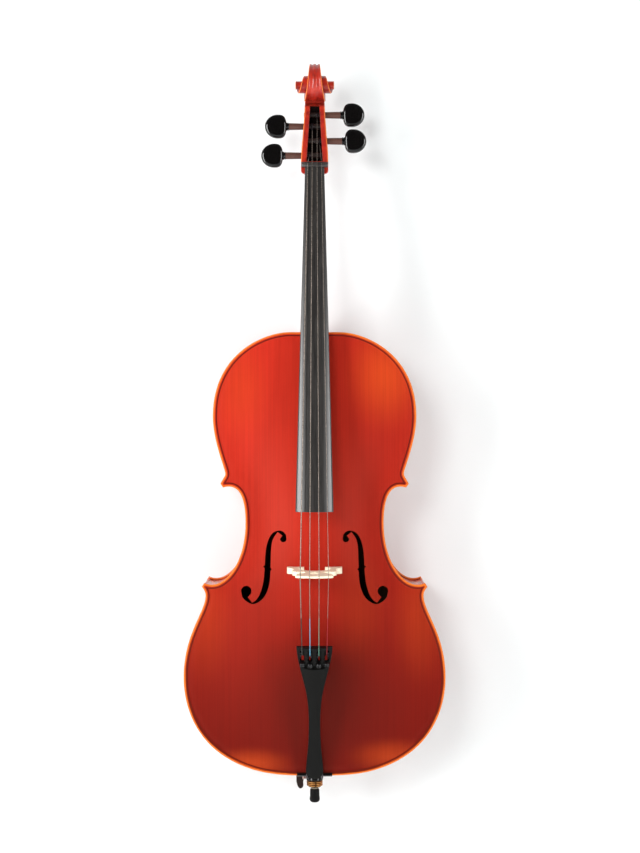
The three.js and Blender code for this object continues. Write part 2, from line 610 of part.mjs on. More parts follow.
// ---- Bridge: right half of its front view as [x, height above the belly] ----
const BRIDGE_HALF = [[46, -6], [46, 4], [38, 12], [35, 22], [37, 33], [35, 41], [29, 45], [19, 44], [15, 49],
  [17, 56], [24, 60], [28, 68], [31, 77], [30, 81], [23, 85.4], [15, 88.1], [7.5, 89.5]];
const BRIDGE_ARCH = [[18, -6], [19, 4], [26, 10], [27, 16], [22, 27], [12, 33]];
const HEART = [[0, 50], [7, 58], [5, 64], [0, 61]];
const BRIDGE_TAIL_FACE = STOP + BODY_BOTTOM - BRIDGE_FOOT_THICKNESS / 2;

function makeBridge() {
  const base = RIB_HALF_HEIGHT + PLATE_THICKNESS + BELLY_ARCH;
  const right = [...BRIDGE_ARCH].reverse().concat(BRIDGE_HALF);
  const outline = both([[0, 35], ...right, [0, BRIDGE_HEIGHT]]);
  const lift = (points) => points.map(([x, height]) => [x, height + base]);
  const blank = solid(prismAlongZ(lift(outline), BRIDGE_TAIL_FACE, BRIDGE_TAIL_FACE + BRIDGE_FOOT_THICKNESS));
  const heart = solid(prismAlongZ(lift(both(HEART)), BRIDGE_TAIL_FACE - 5, BRIDGE_TAIL_FACE + 20));
  const wedge = [[base - 20, BRIDGE_TAIL_FACE - 1], [base + BRIDGE_HEIGHT + 5, BRIDGE_TAIL_FACE - 1],
    [base + BRIDGE_HEIGHT + 5, BRIDGE_TAIL_FACE + BRIDGE_CROWN_THICKNESS],
    [base + 50, BRIDGE_TAIL_FACE + 7], [base - 20, BRIDGE_TAIL_FACE + BRIDGE_FOOT_THICKNESS + 1]];
  const belowFeet = belly.add(belly.translate([0, 4, 0])).add(belly.translate([0, 8, 0]));
  return geometryOf(blank.intersect(solid(prismAlongX(wedge, 60))).subtract(heart)
    .subtract(belowFeet.translate([0, -GAP, 0])));
}
add('bridge', makeBridge(), BRIDGE_WOOD);

// Forward distance of the bridge's crown where a string crosses it.
function crownForward(x) {
  const top = RIB_HALF_HEIGHT + PLATE_THICKNESS + BELLY_ARCH + BRIDGE_HEIGHT;
  return top - CROWN_RADIUS + Math.sqrt(CROWN_RADIUS ** 2 - x ** 2);
}

// ---- Tailpiece, in a tilted frame: its own +Z runs up its length, its own -Y faces forward ----
const tail = new THREE.Group();
tail.position.set(0, -TAILPIECE_TOP.forward, TAILPIECE_TOP.z);
tail.rotation.x = THREE.MathUtils.degToRad(TAILPIECE_TILT);
cello.add(tail);

// Distance below the top edge and half width there.
const TAILPIECE_HALF_WIDTH = [[0, 30.5], [18, 28.6], [39, 24.5], [60, 19.2], [89, 13], [112, 10.5], [150, 9.8],
  [185, 11.2], [212, 13.6], [228, 14.8], [237, 13], [241, 8], [242, 4]];
const arcDrop = (x) => TAILPIECE_RADIUS - Math.sqrt(TAILPIECE_RADIUS ** 2 - x ** 2);
const TUNER = { slotTop: -6, slotBottom: -27, screwZ: -32, pocketBottom: -38, halfSlot: 4.2, pivotZ: -20,
  pivotY: 7 };

function tunerCutter(x) {
  const through = box([x - TUNER.halfSlot, x + TUNER.halfSlot], [-30, 10], [TUNER.slotBottom, TUNER.slotTop]);
  const pocket = box([x - TUNER.halfSlot, x + TUNER.halfSlot], [-30, -(arcDrop(x) + 4)],
    [TUNER.pocketBottom, TUNER.slotBottom + 1]);
  const bore = new THREE.CylinderGeometry(2, 2, 30, 12).translate(x, 0, TUNER.screwZ);
  const seat = new THREE.CylinderGeometry(5, 5, 10, 14).translate(x, arcDrop(x) - 4.8, TUNER.screwZ);
  return solid(through).add(solid(pocket)).add(solid(bore)).add(solid(seat));
}

function makeTailpiece() {
  const across = [-1, -0.8, -0.5, -0.2, 0.2, 0.5, 0.8, 1];
  const rings = TAILPIECE_HALF_WIDTH.map(([down, half]) => {
    const front = across.map((u) => [u * half, arcDrop(u * half), -down]);
    const back = smoothThrough(TAILPIECE_THICKNESS, down);
    return [...front, [half, back, -down], [-half, back, -down]];
  });
  let body = solid(loft(rings));
  for (const string of STRINGS) body = body.subtract(tunerCutter(string.tail));
  return geometryOf(body);
}
add('tailpiece', makeTailpiece(), TAILPIECE_BLACK, tail);

// Side view of a tuner lever as [forward, z] from its pivot: a hook in front, an arm behind.
const LEVER_SIDE = [[2.5, 3], [10, 3.5], [10, 6], [7.5, 6], [7.5, 9], [-2.5, 9], [-3, 0], [-2.5, -16.5],
  [0.3, -16.5], [0.3, -4], [2.5, -2]];

function makeLever() {
  return prismAlongX(LEVER_SIDE, 2.8);
}

function makeTunerScrew() {
  const knob = solid(turned([[3.6, 0.6], [4.1, 1.4], [4.1, 6], [3.4, 7]], 0, 16));
  const stem = solid(turned([[1.5, -5.8], [1.5, 1]], 0, 10));
  const screw = geometryOf(knob.add(stem));
  return screw.rotateX(Math.PI / 2);
}

for (const string of STRINGS) {
  const drop = arcDrop(string.tail);
  const lever = add(`fine_tuner_lever_${string.name}`, makeLever(), EBONY, tail);
  lever.position.set(string.tail, drop + TUNER.pivotY, TUNER.pivotZ);
  const screw = add(`fine_tuner_screw_${string.name}`, makeTunerScrew(), EBONY, tail);
  screw.position.set(string.tail, drop, TUNER.screwZ);
}

// ---- Saddle and tailgut ----
const saddleSide = [[RIB_HALF_HEIGHT, SADDLE.bottom], [RIB_HALF_HEIGHT, SADDLE.top], [65, SADDLE.top],
  [SADDLE.forward, SADDLE.top - 1.7], [SADDLE.forward, SADDLE.bottom + 1.7], [65, SADDLE.bottom]];
add('saddle', prismAlongX(saddleSide, SADDLE.halfWidth), EBONY);

// A round bar through points, with a ring of vertices square to the path at each point.
function barThrough(points, radius, sides) {
  const path = points.map((p) => new THREE.Vector3(...p));
  const rings = path.map((point, i) => {
    const ahead = path[Math.min(i + 1, path.length - 1)];
    const behind = path[Math.max(i - 1, 0)];
    const along = ahead.clone().sub(behind).normalize();
    const helper = Math.abs(along.x) < 0.8 ? new THREE.Vector3(1, 0, 0) : new THREE.Vector3(0, 0, 1);
    const u = helper.clone().sub(along.clone().multiplyScalar(helper.dot(along))).normalize();
    const v = along.clone().cross(u);
    return Array.from({ length: sides }, (_, k) => {
      const angle = (2 * Math.PI * k) / sides;
      return point.clone().addScaledVector(u, radius * Math.cos(angle))
        .addScaledVector(v, radius * Math.sin(angle)).toArray();
    });
  });
  return loft(rings);
}

const GUT_RADIUS = 1.5;
const GUT_LEVEL = 56.2; // height of the loop below the saddle
const GUT_LOOP_RADIUS = 13;
tail.updateMatrixWorld(true);
const fromTail = (x, y, z) => tail.localToWorld(new THREE.Vector3(x, y, z));

// One strand runs from under the tailpiece over the saddle to the plug; the other is its mirror image.
function tailgutPoints() {
  const roundPlug = [0, 30, 60].map((degrees) => {
    const angle = THREE.MathUtils.degToRad(degrees);
    return [GUT_LOOP_RADIUS * Math.cos(angle), -GUT_LOOP_RADIUS * Math.sin(angle), GUT_LEVEL];
  });
  const strand = [fromTail(6, 9.2, -200), fromTail(8, 10, -212)].concat(
    [[17.5, 69.8, 64], [18, 69.5, 59.5], [18, 67.2, GUT_LEVEL], [18, 62, GUT_LEVEL], [17, 36, GUT_LEVEL],
      [14.6, 14, GUT_LEVEL], ...roundPlug].map(([x, forward, z]) => new THREE.Vector3(x, -forward, z)));
  const right = strand.map((p) => p.toArray());
  const left = right.map(([x, y, z]) => [-x, y, z]).reverse();
  return [...right, [0, GUT_LOOP_RADIUS, GUT_LEVEL], ...left];
}
add('tailgut', barThrough(tailgutPoints(), GUT_RADIUS, 8), GUT);

// ---- Endpin: plug, clamp ring, thumbscrew, rod and rubber tip ----
const ROD_BORE = ROD_RADIUS + 0.6;
const FLANGE_RADIUS = 14.5;
const RIB_SURFACE = BODY_BOTTOM + OVERHANG;
const screwHole = solid(cylinderAlongX(3.4, -20, 0, 0, SCREW_Z, 14));
const socket = turned([[FLANGE_RADIUS, COLLAR_TOP + GAP], [FLANGE_RADIUS, 52], [10.8, 53.5], [10.8, 59],
  [FLANGE_RADIUS, 60.5], [FLANGE_RADIUS, RIB_SURFACE - GAP], [SOCKET_RADIUS, RIB_SURFACE - GAP],
  [SOCKET_RADIUS - 1.5, BODY_BOTTOM + 50]], ROD_BORE);
add('endpin_socket', geometryOf(solid(socket).subtract(screwHole)), EBONY);
add('endpin_collar', turned([[11.5, COLLAR_BOTTOM], [COLLAR_RADIUS, COLLAR_BOTTOM + 2.5],
  [COLLAR_RADIUS, COLLAR_TOP]], ROD_BORE), BRASS);
add('endpin_rod', turned([[6.3, TIP_HEIGHT + GAP], [6.3, COLLAR_BOTTOM - GAP], [ROD_RADIUS, COLLAR_BOTTOM - 0.1],
  [ROD_RADIUS, ROD_TOP_Z]]), STEEL);
add('endpin_tip', turned([[5.6, 0], [8.7, 3.2], [8.7, 7], [7.8, TIP_HEIGHT]]), RUBBER);

// Half outline of the thumbscrew's wings as [x, distance from its axis].
const WING = [[-19.5, 3.5], [-20, 10], [-19.8, 15], [-22.5, 18.8], [-26, 19.3], [-29.5, 15.5], [-32, 7]];

function makeThumbscrew() {
  const lower = WING.map(([x, off]) => [x, SCREW_Z - off]).reverse();
  const wings = prismAlongY([...WING.map(([x, off]) => [x, SCREW_Z + off]), ...lower], -2.3, 2.3);
  return geometryOf(solid(wings).add(solid(cylinderAlongX(3, -21.5, -5.7, 0, SCREW_Z, 12))));
}
add('endpin_thumbscrew', makeThumbscrew(), EBONY);

// ---- Strings, each whole from its fine tuner over the bridge and nut to its peg ----
function nutCrest(x) {
  return Math.abs(x) < 8 ? NUT_FORWARD : THREE.MathUtils.mapLinear(Math.abs(x), 8, 18, NUT_FORWARD, 47.5);
}

function stringPoints(string) {
  const peg = PEGS.find(({ name }) => name === string.peg);
  const lift = string.radius + GAP;
  const bridgeForward = crownForward(string.bridge) + lift + 0.2;
  const nutForward = nutCrest(string.nut) + lift + 0.2;
  const atPegForward = pegForward(peg.z) + 5.6 + lift;
  const hook = fromTail(string.tail, arcDrop(string.tail) - 3.4, -13).toArray();
  return [hook,
    [string.bridge, -bridgeForward, BRIDGE_TAIL_FACE - 0.5],
    [string.bridge, -bridgeForward, BRIDGE_TAIL_FACE + BRIDGE_CROWN_THICKNESS + 0.5],
    [string.nut, -nutForward, NUT_Z - 0.5],
    [string.nut, -nutForward, NUT_Z + NUT_HEIGHT + 0.3],
    [string.atPeg, -atPegForward, peg.z]];
}
for (const string of STRINGS) {
  add(`string_${string.name}`, barThrough(stringPoints(string), string.radius, 8), STEEL);
}

export default cello;
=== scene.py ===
"""A full-size cello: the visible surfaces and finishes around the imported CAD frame."""

import bmesh
import bpy
import math
import numpy as np
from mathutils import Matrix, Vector
from mathutils.geometry import delaunay_2d_cdt


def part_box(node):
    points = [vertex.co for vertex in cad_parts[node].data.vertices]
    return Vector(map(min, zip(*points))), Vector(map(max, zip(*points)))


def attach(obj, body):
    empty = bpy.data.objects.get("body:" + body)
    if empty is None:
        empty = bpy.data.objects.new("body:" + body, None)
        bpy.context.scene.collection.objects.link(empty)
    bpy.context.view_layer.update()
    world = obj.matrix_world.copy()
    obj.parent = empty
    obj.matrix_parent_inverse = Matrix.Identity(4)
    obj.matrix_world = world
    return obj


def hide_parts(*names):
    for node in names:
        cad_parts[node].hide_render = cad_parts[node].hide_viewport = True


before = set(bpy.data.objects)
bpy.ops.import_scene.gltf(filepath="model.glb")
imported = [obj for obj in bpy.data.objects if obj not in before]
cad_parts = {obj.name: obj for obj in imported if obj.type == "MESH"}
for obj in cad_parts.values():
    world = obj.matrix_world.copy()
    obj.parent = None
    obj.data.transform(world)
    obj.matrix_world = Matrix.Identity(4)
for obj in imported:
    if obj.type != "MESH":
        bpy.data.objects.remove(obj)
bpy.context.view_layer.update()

# ---- Driving places, in millimetres: x to the treble side, forward out of the belly, z upwards ----
MM = 0.001


def span(node, axis):
    """Lowest and highest place of a CAD node along an axis (0 = X, 1 = Y, 2 = Z)."""
    low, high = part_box(node)
    return low[axis] / MM, high[axis] / MM


BODY_BOTTOM = span("back", 2)[0]
BODY_TOP = span("belly", 2)[1]
BODY_LENGTH = BODY_TOP - BODY_BOTTOM
PLATE = 5.0
RIB_HALF = -span("belly", 1)[1]
ARCH = -span("belly", 1)[0] - RIB_HALF - PLATE
BACK_ARCH = span("back", 1)[1] - RIB_HALF - PLATE
STOP = 352.0
BRIDGE_LINE = BODY_BOTTOM + STOP
OVERHANG = 4.0
RIB_THICKNESS = 1.8
BRIDGE_TOP = -span("bridge", 1)[0]
NUT_LOW, NUT_HIGH = span("nut", 2)
NUT_FORWARD = -span("nut", 1)[0]
BOARD_LOW = span("fingerboard", 2)[0]


def place(x, forward, z):
    return (x * MM, -forward * MM, z * MM)


# ---- Mesh helpers ----
def assemble(name, parts, mats, smooth_angle=40.0):
    """One object from (verts, faces, material number) parts."""
    verts, faces = join_meshes([(part[0], part[1]) for part in parts])
    obj = new_object(name, verts, faces, mats, smooth_angle)
    numbers = [part[2] for part in parts for _ in part[1]]
    obj.data.polygons.foreach_set("material_index", numbers)
    return obj


def new_object(name, verts, faces, mats, smooth_angle=40.0):
    """A mesh object from vertices in metres; mats is one material or a list of them."""
    mesh = bpy.data.meshes.new(name)
    mesh.from_pydata([tuple(v) for v in verts], [], [tuple(f) for f in faces])
    mesh.validate()
    bm = bmesh.new()
    bm.from_mesh(mesh)
    bmesh.ops.recalc_face_normals(bm, faces=bm.faces)
    bm.to_mesh(mesh)
    bm.free()
    for mat in mats if isinstance(mats, list) else [mats]:
        mesh.materials.append(mat)
    shade(mesh, smooth_angle)
    obj = bpy.data.objects.new(name, mesh)
    bpy.context.scene.collection.objects.link(obj)
    return obj


def shade(mesh, angle):
    mesh.polygons.foreach_set("use_smooth", [True] * len(mesh.polygons))
    mesh.set_sharp_from_angle(angle=math.radians(angle))


def finish_piece(obj, body, nodes=()):
    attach(obj, body)
    if nodes:
        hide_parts(*nodes)
    return obj


def mark_points(obj, name, values):
    """Stores one number for each vertex, for the finish to read."""
    data = obj.data.attributes.new(name, "FLOAT", "POINT")
    data.data.foreach_set("value", np.array(values, np.float32))


def grid_faces(rows, columns):
    """Quads between neighbouring rows of an open grid of vertices."""
    corners = [(row * columns + column) for row in range(rows - 1) for column in range(columns - 1)]
    return [(a, a + 1, a + 1 + columns, a + columns) for a in corners]


def join_meshes(parts):
    """One vertex list and face list from several (verts, faces) pairs."""
    verts = []
    faces = []
    for part_verts, part_faces in parts:
        start = len(verts)
        verts.extend(part_verts)
        faces.extend([tuple(i + start for i in face) for face in part_faces])
    return verts, faces


def loft(rings, closed_path=False):
    """Quads between matching rings, with a fan at each open end."""
    count = len(rings[0])
    verts = [v for ring in rings for v in ring]
    faces = []
    last = len(rings) if closed_path else len(rings) - 1
    for r in range(last):
        upper = (r + 1) % len(rings)
        for i in range(count):
            j = (i + 1) % count
            faces.append((r * count + i, r * count + j, upper * count + j, upper * count + i))
    if not closed_path:
        for end in (0, len(rings) - 1):
            middle = np.mean(np.array(rings[end], float), axis=0)
            verts.append(tuple(middle))
            for i in range(count):
                faces.append((len(verts) - 1, end * count + (i + 1) % count, end * count + i))
    return verts, faces


def tube(points, radii, sides=12, closed_path=False):
    """A round bar along points in metres; radii is one radius or one for each point, in metres."""
    path = np.array(points, float)
    count = len(path)
    radii = np.full(count, radii) if np.isscalar(radii) else np.array(radii)
    if closed_path:
        ahead = np.roll(path, -1, axis=0) - np.roll(path, 1, axis=0)
    else:
        ahead = np.gradient(path, axis=0)
    ahead /= np.linalg.norm(ahead, axis=1)[:, None]
    helper = np.array([1.0, 0, 0]) if abs(ahead[0][0]) < 0.8 else np.array([0, 0, 1.0])
    side = helper - ahead[0] * helper.dot(ahead[0])
    rings = []
    for i in range(count):
        side = side - ahead[i] * side.dot(ahead[i])
        side = side / np.linalg.norm(side)
        other = np.cross(ahead[i], side)
        angles = np.linspace(0, 2 * math.pi, sides, endpoint=False)
        rings.append([tuple(path[i] + radii[i] * (math.cos(a) * side + math.sin(a) * other)) for a in angles])
    return loft(rings, closed_path)


def spin(profile, centre=(0.0, 0.0), axis="Z", sides=48):
    """A turned solid from (radius, position along the axis) pairs in millimetres, about a CAD axis.

    centre is (x, forward) for axis Z, or (forward, z) for axis X.
    """
    rings = []
    for radius, along in profile:
        ring = []
        for k in range(sides):
            a = 2 * math.pi * k / sides
            u = radius * math.cos(a)
            v = radius * math.sin(a)
            if axis == "Z":
                ring.append(place(centre[0] + u, centre[1] + v, along))
            else:
                ring.append(place(along, centre[0] + u, centre[1] + v))
        rings.append(ring)
    return loft(rings)


def spin_ring(profile, sides=64):
    """A turned ring about the Z axis from a closed section of (radius, z) pairs in millimetres."""
    rings = []
    for k in range(sides):
        a = 2 * math.pi * k / sides
        rings.append([place(r * math.cos(a), r * math.sin(a), z) for r, z in profile])
    return loft(rings, closed_path=True)


def bezier(points, count=24):
    t = np.linspace(0, 1, count + 1)[:, None]
    p = np.array(points, float)
    if len(p) == 2:
        return p
    s = 1 - t
    return s**3 * p[0] + 3 * s**2 * t * p[1] + 3 * s * t**2 * p[2] + t**3 * p[3]


def spline(points, per_span=8, closed=False):
    """A smooth curve through points (uniform Catmull-Rom)."""
    p = np.array(points, float)
    n = len(p)
    out = []
    spans = n if closed else n - 1
    for i in range(spans):
        p1 = p[i]
        p2 = p[(i + 1) % n]
        p0 = p[i - 1] if (closed or i > 0) else 2 * p1 - p2
        p3 = p[(i + 2) % n] if (closed or i + 2 < n) else 2 * p2 - p1
        for k in range(per_span):
            t = k / per_span
            out.append(0.5 * (2 * p1 + (p2 - p0) * t + (2 * p0 - 5 * p1 + 4 * p2 - p3) * t**2
                              + (3 * p1 - p0 - 3 * p2 + p3) * t**3))
    if not closed:
        out.append(p[-1])
    return np.array(out)


def even(points, step):
    """The same open line with points a fixed distance apart."""
    p = np.array(points, float)
    lengths = np.linalg.norm(np.diff(p, axis=0), axis=1)
    along = np.concatenate([[0], np.cumsum(lengths)])
    count = max(int(round(along[-1] / step)), 1)
    targets = np.linspace(0, along[-1], count + 1)
    return np.stack([np.interp(targets, along, p[:, k]) for k in range(p.shape[1])], axis=1)


def through(table, x):
    """Smooth value at x through (x, value) pairs."""
    xs = np.array([a for a, _ in table], float)
    vs = np.array([b for _, b in table], float)
    slopes = np.gradient(vs, xs)
    x = np.clip(x, xs[0], xs[-1])
    i = np.clip(np.searchsorted(xs, x, side="right") - 1, 0, len(xs) - 2)
    span_x = xs[i + 1] - xs[i]
    t = (x - xs[i]) / span_x
    return ((2 * t**3 - 3 * t**2 + 1) * vs[i] + (t**3 - 2 * t**2 + t) * span_x * slopes[i]
            + (3 * t**2 - 2 * t**3) * vs[i + 1] + (t**3 - t**2) * span_x * slopes[i + 1])


# ---- Body outline: right half as (x, height above the body's bottom) ----
LOWER_BOUT = [
    [(0, 0), (44, 0), (74, 1), (104, 10)],
    [(104, 10), (213, 43), (223, 134), (223, 167)],
    [(223, 167), (223, 241), (185.6, 279), (185.6, 306)],
    [(185.6, 306), (185.6, 314), (189.3, 317), (192, 321.5)],
]
LOWER_CORNER_END = [[(192, 321.5), (188, 328)]]
WAIST = [
    [(188, 328), (156.5, 312.3), (117.6, 358.6), (117.6, 430)],
    [(117.6, 430), (117.6, 484), (134, 497), (156, 490.4)],
]
UPPER_CORNER_END = [[(156, 490.4), (160.3, 497)]]
UPPER_BOUT = [
    [(160.3, 497), (156, 506), (152, 509.5), (152, 514)],
    [(152, 514), (152.5, 523), (173.3, 569), (173.3, 612)],
    [(173.3, 612), (173.3, 715), (92, 753), (45, BODY_LENGTH)],
    [(45, BODY_LENGTH), (0, BODY_LENGTH)],
]
OUTLINE_STEP = 2.2


def mirror(line):
    """The same open line on the other side, running back."""
    return line[::-1] * np.array([-1, 1])


def stretch_line(curves, step=OUTLINE_STEP):
    line = np.concatenate([bezier(c)[(0 if i == 0 else 1):] for i, c in enumerate(curves)])
    return even(line, step)


def half_outline():
    stretches = [LOWER_BOUT, LOWER_CORNER_END, WAIST, UPPER_CORNER_END, UPPER_BOUT]
    lines = [stretch_line(s) for s in stretches]
    return np.concatenate([line if i == 0 else line[1:] for i, line in enumerate(lines)])


def full_outline():
    right = half_outline()
    return np.concatenate([right, mirror(right[1:-1])])


OUTLINE = full_outline()


def segment_distance(points, line, closed=True):
    """Distance from each point to a polyline, in the plane."""
    points = np.asarray(points, float)
    a = line
    b = np.roll(line, -1, axis=0)
    if not closed:
        a = a[:-1]
        b = b[:-1]
    ab = b - a
    squared = (ab**2).sum(1)
    out = np.empty(len(points))
    for start in range(0, len(points), 2000):
        p = points[start:start + 2000, None, :]
        t = np.clip(((p - a) * ab).sum(2) / squared, 0, 1)
        out[start:start + 2000] = np.sqrt(((a + t[..., None] * ab - p) ** 2).sum(2)).min(1)
    return out


def inside(points, line):
    """Even-odd test of points against a closed polyline."""
    points = np.asarray(points, float)
    x, y = points[:, 0], points[:, 1]
    result = np.zeros(len(points), bool)
    x0, y0 = line[:, 0], line[:, 1]
    x1, y1 = np.roll(x0, -1), np.roll(y0, -1)
    for ax, ay, bx, by in zip(x0, y0, x1, y1):
        if ay == by:
            continue
        crosses = (ay > y) != (by > y)
        result ^= crosses & (x < (bx - ax) * (y - ay) / (by - ay) + ax)
    return result


def inward_normals(line):
    tangent = np.roll(line, -1, axis=0) - np.roll(line, 1, axis=0)
    tangent /= np.linalg.norm(tangent, axis=1)[:, None]
    return np.stack([-tangent[:, 1], tangent[:, 0]], axis=1)


# ---- Arching of the plates ----
# Half width of the arched area at heights above the body's bottom.
ARCH_HALF_WIDTH = [(0, 92), (30, 132), (60, 163), (110, 196), (167, 209), (240, 194), (300, 168), (350, 124),
                   (430, 105), (490, 118), (540, 140), (612, 160), (680, 144), (725, 100), (755, 50)]
ARCH_END = 10.0
ARCH_RISE_LOW = 240.0
ARCH_RISE_HIGH = 215.0


def swell(u):
    """Rises from 0 at u = 0 to 1 at u = 1, level at both ends and full near the top."""
    return (0.5 - 0.5 * np.cos(math.pi * np.clip(u, 0, 1))) ** 0.85


def arch_height(x, height, arch=ARCH):
    x = np.asarray(x, float)
    height = np.asarray(height, float)
    from_below = swell((height - ARCH_END) / ARCH_RISE_LOW)
    from_above = swell((BODY_LENGTH - ARCH_END - height) / ARCH_RISE_HIGH)
    across = swell(1 - np.abs(x) / through(ARCH_HALF_WIDTH, height))
    return arch * (from_below * from_above) * across


def belly_forward(x, z):
    """Forward place of the belly's surface."""
    return RIB_HALF + PLATE + arch_height(x, np.asarray(z, float) - BODY_BOTTOM)


# ---- Sound holes: the left one as (x, height from the bridge line) ----
F_UPPER_EYE = (-53, 51.7, 5.4, 175, 370)  # centre x and height, radius, arc start and end in degrees
F_LOWER_EYE = (-116, -37.2, 8.9, -45, 200)
F_OUTER_EDGE = [(-48.5, 59), (-53, 64), (-60, 66), (-69, 63), (-76, 55), (-81.5, 40), (-84, 20), (-85, -3),
                (-87.5, -24), (-92.5, -41), (-99, -51.5), (-105.8, -56.6)]
F_LOWER_WING = (-113.3, -47.5)
F_INNER_EDGE = [(-123, -47), (-117, -53.5), (-106, -58.8), (-95, -55.5), (-84.5, -45.5), (-78, -30),
                (-75.2, -12), (-74.5, 13), (-73.5, 36), (-70.8, 50.5), (-62.7, 63.5)]
F_UPPER_WING = (-54.6, 57.6)
F_NOTCHES = [((-85.1, 4.3), 2.6), ((-74.7, 0), -2.6)]  # place on the stem's edge, depth outwards in x
NOTCH_REACH = 1.6
F_STEP = 1.2


def eye_arc(eye, steps=22):
    x, z, radius, start, end = eye
    angles = np.radians(np.linspace(start, end, steps))
    return np.stack([x + radius * np.cos(angles), z + radius * np.sin(angles)], axis=1)


def cut_notch(line, notch):
    """Replaces the stretch of an edge beside a notch by its small V."""
    (x, z), depth = notch
    keep = np.abs(line[:, 1] - z) > NOTCH_REACH
    first = int(np.argmin(keep))
    tip = np.array([[x - depth, z]])
    return np.concatenate([line[:first], tip, line[first:][keep[first:]]])


def sound_hole(side):
    """Outline of one sound hole as (x, height above the body's bottom)."""
    outer = cut_notch(even(spline(F_OUTER_EDGE), F_STEP), F_NOTCHES[0])
    inner = cut_notch(even(spline(F_INNER_EDGE), F_STEP), F_NOTCHES[1])
    line = np.concatenate([eye_arc(F_UPPER_EYE), outer, [F_LOWER_WING],
                           eye_arc(F_LOWER_EYE), inner, [F_UPPER_WING]])
    line = line + np.array([0, STOP])
    if side > 0:
        line = mirror(line)
    return line


# ---- Plates ----
EDGE_ROUND = 2.4
BUTTON_HALF = 17.0
BUTTON_TOP = span("back", 2)[1] - BODY_BOTTOM
CHANNEL_INSET = 9.0
CHANNEL_DEPTH = 1.0
CHANNEL_REACH = 4.0
INNER_EASING = 0.8  # part of the outer rounding that the inner edge gets
BUTTON_INSET = 4.5  # what the button counts as: neither worn edge nor inlay
GRID_STEP = 7.0
GRID_HALF_COLUMNS = 32
DENSE_TO = 8  # rings nearer the edge than this keep every point
RING_TOLERANCE = 0.97
HOLE_CLEARANCE = 0.9
RING_INSETS = [0.35, 0.9, 1.6, 2.4, 3.6, 4.8, 5.6, 6.4, 7.2, 9, 11.5, 15, 20]


def plate_sites(holes):
    """Points inside the outline: rings near the edge, then a grid, kept clear of the sound holes."""
    normals = inward_normals(OUTLINE)
    sites = []
    for inset in RING_INSETS:
        ring = OUTLINE + normals * inset
        ring = ring[::1 if inset < DENSE_TO else 2]
        keep = segment_distance(ring, OUTLINE) > inset * RING_TOLERANCE
        sites.append(ring[keep & inside(ring, OUTLINE)])
    xs = np.arange(-GRID_HALF_COLUMNS, GRID_HALF_COLUMNS + 1) * GRID_STEP
    zs = np.arange(0, int(BODY_LENGTH / GRID_STEP) + 1) * GRID_STEP
    grid = np.array([(x, z) for z in zs for x in xs])
    grid = grid[inside(grid, OUTLINE)]
    grid = grid[segment_distance(grid, OUTLINE) > RING_INSETS[-1] + 3]
    sites.append(grid)
    sites = np.concatenate(sites)
    for hole in holes:
        sites = sites[~inside(sites, hole)]
        sites = sites[segment_distance(sites, hole) > HOLE_CLEARANCE]
    return sites


def triangulate(loops, sites):
    """Triangles over the area inside the first loop and outside the others."""
    points = np.concatenate(loops + [sites])
    edges = []
    start = 0
    for loop in loops:
        count = len(loop)
        edges.extend([(start + i, start + (i + 1) % count) for i in range(count)])
        start += count
    result = delaunay_2d_cdt([Vector(p) for p in points], edges, [], 0, 1e-6)
    flat = np.array([tuple(v) for v in result[0]])
    faces = np.array([tuple(f) for f in result[2] if len(f) == 3])
    middles = flat[faces].mean(axis=1)
    keep = inside(middles, loops[0])
    for loop in loops[1:]:
        keep &= ~inside(middles, loop)
    return flat, faces[keep]


def back_outline():
    """The body outline with the button that covers the heel's end."""
    middle = (OUTLINE[:, 1] > BODY_LENGTH - 1) & (np.abs(OUTLINE[:, 0]) < BUTTON_HALF)
    first = int(np.argmax(middle))
    angles = np.linspace(0, math.pi, 17)
    straight = BUTTON_TOP - BUTTON_HALF
    button = np.stack([BUTTON_HALF * np.cos(angles), straight + BUTTON_HALF * np.sin(angles)], axis=1)
    corners = [np.array([[BUTTON_HALF, BODY_LENGTH]]), button, np.array([[-BUTTON_HALF, BODY_LENGTH]])]
    return np.concatenate([OUTLINE[:first]] + corners + [OUTLINE[first:][~middle[first:]]])


def edge_inset(flat):
    """Distance in from the body's outline; the button counts as well away from any edge."""
    edge = segment_distance(flat, OUTLINE)
    near_button = (np.abs(flat[:, 0]) < BUTTON_HALF) & (flat[:, 1] > BODY_LENGTH - BUTTON_INSET)
    return np.where(near_button, BUTTON_INSET, edge)


def make_plate(name, facing, arch, outline, holes, mats):
    """A carved plate; facing is 1 for the belly (forward) and -1 for the back."""
    flat, faces = triangulate([outline] + holes, plate_sites(holes))
    edge = segment_distance(flat, outline)
    height = arch_height(flat[:, 0], flat[:, 1], arch)
    reach = np.clip(EDGE_ROUND - edge, 0, EDGE_ROUND)
    rounding = EDGE_ROUND - np.sqrt(EDGE_ROUND**2 - reach**2)
    channel = CHANNEL_DEPTH * np.exp(-(((edge - CHANNEL_INSET) / CHANNEL_REACH) ** 2))
    outer = RIB_HALF + PLATE + height - rounding - channel
    inner = RIB_HALF + height + rounding * INNER_EASING
    count = len(flat)
    verts = [place(x, facing * f, z + BODY_BOTTOM)
             for level in (outer, inner) for (x, z), f in zip(flat, level)]
    top = [tuple(f) for f in faces]
    under = [tuple(int(i) + count for i in f[::-1]) for f in faces]
    boundary = {}
    for a, b, c in faces:
        for edge_pair in ((a, b), (b, c), (c, a)):
            boundary[edge_pair] = True
    walls = [(a, b, b + count, a + count) for a, b in boundary if (b, a) not in boundary]
    obj = new_object(name, verts, top + under + walls, mats)
    mark_points(obj, "inset", np.tile(edge_inset(flat), 2))
    enclosed = (edge > OVERHANG + RIB_THICKNESS) & (flat[:, 1] < BODY_LENGTH - OVERHANG)
    for polygon in obj.data.polygons:
        hidden = polygon.index >= len(top) and enclosed[polygon.vertices[0] % count]
        polygon.material_index = 1 if hidden else 0
    return obj


